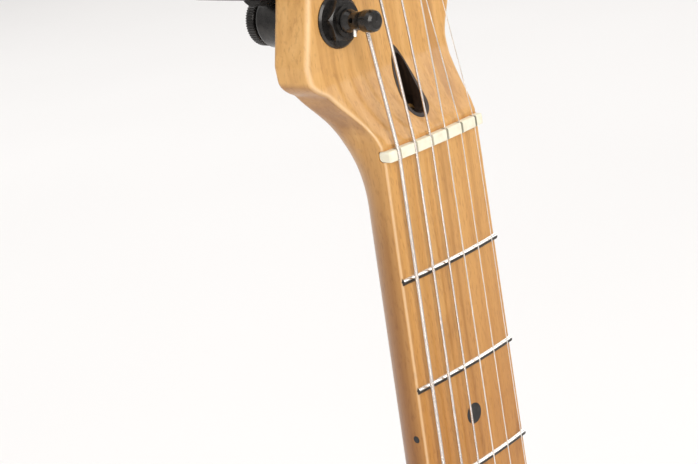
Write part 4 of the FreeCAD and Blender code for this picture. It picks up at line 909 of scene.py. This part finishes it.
def make_body():
    """The contoured body with rounded edges, its inset stored for the sunburst."""
    plan = body_outline(PLAN_STEP)
    inward = inward_normals(plan)
    count = len(plan)
    front_level = -(BODY_LOW[1] - CROWN_Y) / MM
    back_level = -(BODY_HIGH[1] - CROWN_Y) / MM
    points, insets, rings = [], [], []

    def level_of(xz, inset, front):
        fall = np.maximum(EDGE_ROUND - inset, 0)
        curve = EDGE_ROUND - np.sqrt(np.maximum(EDGE_ROUND ** 2 - fall ** 2, 0))
        if front:
            return front_level - curve - contour_dip(FOREARM, xz, inset)
        return back_level + curve + contour_dip(BELLY, xz, inset)

    def add_ring(inset, front):
        xz = plan + inward * inset
        heights = level_of(xz, np.full(count, inset), front)
        rings.append(range(len(points), len(points) + count))
        points.extend(spot(x, z, h) for (x, z), h in zip(xz, heights))
        insets.extend([inset] * count)

    depths = [EDGE_ROUND * (1 - math.cos(a)) for a in np.linspace(math.pi / 2, 0, 8)]
    for depth in depths:
        add_ring(depth, True)
    for depth in reversed(depths):
        add_ring(depth, False)
    faces = []
    for first, second in zip(rings, rings[1:]):
        for i in range(count):
            j = (i + 1) % count
            faces.append((first[i], second[i], second[j], first[j]))
    rim = plan + inward * EDGE_ROUND
    low, high = plan.min(0), plan.max(0)
    lines = [np.arange(low[k], high[k], GRID_STEP) for k in (0, 1)]
    grid = np.stack(np.meshgrid(*lines), -1).reshape(-1, 2)
    grid = grid[inside_outline(grid, rim)]
    grid = grid[distance_inside(grid, rim) > RIM_CLEAR]
    cloud = [Vector(p) for p in np.concatenate((rim, grid))]
    border = [(i, (i + 1) % count) for i in range(count)]
    found, _, triangles, origin, _, _ = delaunay_2d_cdt(cloud, border, [], 1, 1e-5)
    flat = np.array([tuple(p) for p in found])
    depth = distance_inside(flat, plan)
    for front, ring in ((True, rings[0]), (False, rings[-1])):
        heights = level_of(flat, depth, front)
        index = []
        for i, (x, z) in enumerate(flat):
            source = [k for k in origin[i] if k < count]
            if source:
                index.append(ring[source[0]])
            else:
                index.append(len(points))
                points.append(spot(x, z, heights[i]))
                insets.append(float(depth[i]))
        for triangle in triangles:
            corners = tuple(index[k] for k in triangle)
            faces.append(corners if front else corners[::-1])
    body = new_piece("body_shell", points, faces, "guitar", "body_finish", 50)
    face_outwards(body.data)
    store(body, "inset", np.minimum(np.array(insets) / BURST_REACH, 1.0))
    back, middle = -BODY_HIGH[1] + CROWN_Y, (BODY_LOW[1] + BODY_HIGH[1]) / 2
    cutters = []
    for index in range(6):
        mouth = spot(string_across(index, BRIDGE_SPREAD), -BRIDGE_HOLE, back / MM - 1)
        cup = circle_points(mouth, (0, 1, 0), FERRULE_CUP * MM, 32)
        cutters.append(cutter_prism(cup, (0, -10 * MM, 0)))
    outwards = Vector((math.cos(JACK_ANGLE), 0, math.sin(JACK_ANGLE)))
    socket = Vector((JACK[0] * MM, middle, JACK[1] * MM))
    recess = circle_points(socket, outwards, JACK_RECESS * MM, 64)
    cutters.append(cutter_prism(recess, outwards * (30 * MM)))
    hollow = [spot(x, z, -7) for x, z in CAVITY]
    cutters.append(cutter_prism(hollow, (0, 38 * MM, 0)))
    carved(body, [joined(cutters)])
    crisp(body)
    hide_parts("body_wood")


def inside_outline(points, outline):
    """Which plan points lie inside a closed outline."""
    inside = np.zeros(len(points), dtype=bool)
    for (x0, z0), (x1, z1) in zip(outline, np.roll(outline, -1, axis=0)):
        if z0 == z1:
            continue
        spans = (points[:, 1] > min(z0, z1)) & (points[:, 1] <= max(z0, z1))
        x = x0 + (points[:, 1] - z0) / (z1 - z0) * (x1 - x0)
        inside ^= spans & (points[:, 0] < x)
    return inside


# ---- small parts

NUT_TOP = 2.2                 # the nut's top over the crown
NUT_DEEP, NUT_FLOOR, CREST_ROUND, FOOT_ROUND = 3.4, -3.15, 0.55, 1.15
NUT_END_ROUND = 0.8
SLOT_FLOOR, SLOT_PLAY = 1.3, 0.22


def nut_section(top, shrink=0.0):
    """The nut's rounded section as (along, height) pairs, drawn in by a shrink at its ends."""
    near, far = shrink * 0.5, NUT_DEEP - shrink * 0.5
    upper, lower = top - shrink * 0.8, NUT_FLOOR + shrink * 0.6
    corners = ((far, upper, CREST_ROUND, 0), (near, upper, CREST_ROUND, 90),
               (near, lower, FOOT_ROUND, 180), (far, lower, FOOT_ROUND, 270))
    section = []
    for along, height, radius, start in corners:
        inward = -1 if along == far else 1
        down = -1 if height == upper else 1
        for turn in np.linspace(start, start + 90, 6):
            angle = math.radians(turn)
            section.append((along + radius * (inward + math.cos(angle)),
                            height + radius * (down + math.sin(angle))))
    return section


def make_nut():
    """The bone nut with rounded ends and a dark slot for each string."""
    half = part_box("nut")[1][0] / MM
    stations = [half - NUT_END_ROUND * (1 - math.sin(a)) for a in np.linspace(0, math.pi / 2, 7)]
    stations = [-x for x in reversed(stations)] + list(np.linspace(-half, half, 61)[3:-3]) + stations
    vertices = []
    for x in stations:
        past = max(NUT_END_ROUND - (half - abs(x)), 0)
        shrink = NUT_END_ROUND - math.sqrt(max(NUT_END_ROUND ** 2 - past ** 2, 0))
        section = nut_section(NUT_TOP - x * x / (2 * BOARD_RADIUS / MM), shrink)
        vertices += [spot(x, along, height) for along, height in section]
    faces = sleeve_faces(len(stations), len(section))
    nut = new_piece("bone_nut", vertices, faces, "guitar", "bone", 50)
    cutters = []
    for index, radius in enumerate(STRING_RADII):
        x = string_across(index, NUT_SPREAD)
        bottom = SLOT_FLOOR - x * x / (2 * BOARD_RADIUS / MM)
        wide = radius + SLOT_PLAY
        loop = [spot(x - wide, -1, bottom), spot(x + wide, -1, bottom), spot(x + wide, -1, 4),
                spot(x - wide, -1, 4)]
        cutters.append(cutter_prism(loop, (0, 0, 6 * MM)))
    carved(nut, cutters)
    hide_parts("nut")


def post_axis(number):
    """The X and Z of a tuner post's axis in millimetres."""
    low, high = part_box("tuner_post_%d" % number)
    return (low[0] + high[0]) / 2 / MM, (low[2] + high[2]) / 2 / MM


# A locking wheel's profile: radius, and depth from its rear face.
WHEEL = ((1.99, -13.3), (1.99, -4.4), (6.2, -4.4), (6.2, -3.7), (7.35, -3.55), (7.7, -3.25),
         (7.7, -0.62), (7.4, -0.28), (6.6, -0.08), (5.6, 0.0), (5.2, -0.35), (4.6, -0.35),
         (4.2, -0.1), (1.2, -0.05))


WHEEL_SIDES, WHEEL_TEETH = 240, 60
TOOTH_DEPTH, TOOTHED_FROM = 0.28, 7.3          # teeth are cut where the radius is at least this


def make_wheels():
    """The knurled locking wheels behind the gear cases."""
    axis, side, other = square_to((0, 1, 0))
    for number in range(1, 7):
        name = "lock_wheel_%d" % number
        x, z = post_axis(number)
        centre = Vector((x * MM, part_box(name)[1][1], z * MM))
        vertices = []
        for radius, along in WHEEL:
            for step in range(WHEEL_SIDES):
                a = 2 * math.pi * step / WHEEL_SIDES
                gap = radius >= TOOTHED_FROM and (step * WHEEL_TEETH * 2 // WHEEL_SIDES) % 2
                reach = (radius - (TOOTH_DEPTH if gap else 0.0)) * MM
                out = (side * math.cos(a) + other * math.sin(a)) * reach
                vertices.append(centre + axis * (along * MM) + out)
        wheel = new_piece("locking_wheel_%d" % number, vertices,
                          sleeve_faces(len(WHEEL), WHEEL_SIDES), name, "black_hardware", 32)
        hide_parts(name)


COIL_STEPS = 14               # points in one turn


def helix(start, end, radius, turns):
    """Points of a coil between two places."""
    start, end = Vector(start), Vector(end)
    _, side, other = square_to(end - start)
    count = turns * COIL_STEPS
    points = []
    for step in range(count + 1):
        a = 2 * math.pi * step / COIL_STEPS
        points.append(start.lerp(end, step / count) + (side * math.cos(a) + other * math.sin(a)) * radius)
    return points


SPRING_WIRE, SPRING_SIDES = 0.27, 7            # the wire's radius and number of sides
SADDLE_SPRING = {"radius": 1.75, "turns": 8}
PICKUP_SPRING = {"radius": 2.05, "turns": 4}


def make_springs():
    """Coil springs of the saddles and of the pickups' height screws."""
    shapes = []
    for index, extra in enumerate(COMPENSATION):
        x = string_across(index, BRIDGE_SPREAD)
        start = spot(x, -BRIDGE_REAR + 2.25, INTONATION_HEIGHT)
        end = spot(x, -SCALE - extra - SADDLE_REAR - 0.25, INTONATION_HEIGHT)
        shapes.append((start, end, SADDLE_SPRING))
    for x, z in screw_places(frame["nodes"]["pickup_screws"].data):
        shapes.append((spot(x, z, BODY_FACE - 6.0), spot(x, z, BODY_FACE - 0.3), PICKUP_SPRING))
    vertices, faces = [], []
    for start, end, spring in shapes:
        path = helix(start, end, spring["radius"] * MM, spring["turns"])
        run, base = end - start, len(vertices)
        for i, point in enumerate(path):
            ahead = (path[min(i + 1, len(path) - 1)] - path[max(i - 1, 0)]).normalized()
            out = point - (start + (run * ((point - start).dot(run) / run.length_squared)))
            out.normalize()
            other = ahead.cross(out)
            for step in range(SPRING_SIDES):
                a = 2 * math.pi * step / SPRING_SIDES
                vertices.append(point + (out * math.cos(a) + other * math.sin(a)) * SPRING_WIRE * MM)
        faces += sleeve_faces(len(path), SPRING_SIDES, base)
    springs = new_piece("coil_springs", vertices, faces, "guitar", "plain_steel")
    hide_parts("adjuster_springs")


SCREW_REACH = 6.5             # points nearer than this in plan belong to one screw


def screw_places(mesh):
    """The X and Z of each separate screw of a node, in millimetres."""
    found = []
    for x, _, z in plain_points(mesh):
        for group in found:
            if math.hypot(x - group[0][0], z - group[0][1]) < SCREW_REACH:
                group.append((x, z))
                break
        else:
            found.append([(x, z)])
    return [((min(p[0] for p in g) + max(p[0] for p in g)) / 2,
             (min(p[1] for p in g) + max(p[1] for p in g)) / 2) for g in found]


def make_string_ends():
    """The end of each string, which passes through its post, with the cut tail."""
    for index, radius in enumerate(STRING_RADII):
        number = 6 - index
        x, z = post_axis(number)
        lay = POST_WAIST + radius + 0.12
        height = POST_STRING_HEIGHTS[index]
        bend = [(lay, -3.0), (lay, -1.2), (lay - 0.15, -0.2), (lay - 0.7, 0.55), (1.2, 0.9), (0.0, 0.2),
                (-0.7, -1.4), (-1.1, -2.6), (-1.35, -4.2)]
        path = [spot(x + across, z + along, height - 0.05 * step)
                for step, (across, along) in enumerate(bend)]
        wire = SLOTS["string_wire"] if index >= FIRST_PLAIN else WOUND
        vertices, faces = tube(path, (radius - 0.01) * MM, 10)
        new_piece("string_end_%d" % number, vertices, faces, "tuner_post_%d" % number, "string_wire",
                  material=wire)


POINTER_HALF, POINTER_INNER, POINTER_OUTER = 0.45 * MM, 1.0 * MM, 7.2 * MM
POINTER_PROUD, POINTER_DEEP = 0.04 * MM, 0.5 * MM


def make_pointers():
    """A white line let into the top of each knob."""
    for name in ("volume", "tone"):
        low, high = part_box(name + "_knob")
        x, z = (low[0] + high[0]) / 2, (low[2] + high[2]) / 2
        left, right, top = x - POINTER_HALF, x + POINTER_HALF, low[1] - POINTER_PROUD
        inner, outer = z + POINTER_INNER, z + POINTER_OUTER
        loop = [(left, top, inner), (right, top, inner), (right, top, outer), (left, top, outer)]
        points, faces = prism(loop, (0, POINTER_DEEP, 0))
        new_piece(name + "_pointer", points, faces, name, "bone")


add_camera()
add_lights()
add_sky()
add_floor()
dress_cad_nodes()
make_neck()
make_body()
make_nut()
make_wheels()
make_springs()
make_string_ends()
make_pointers()
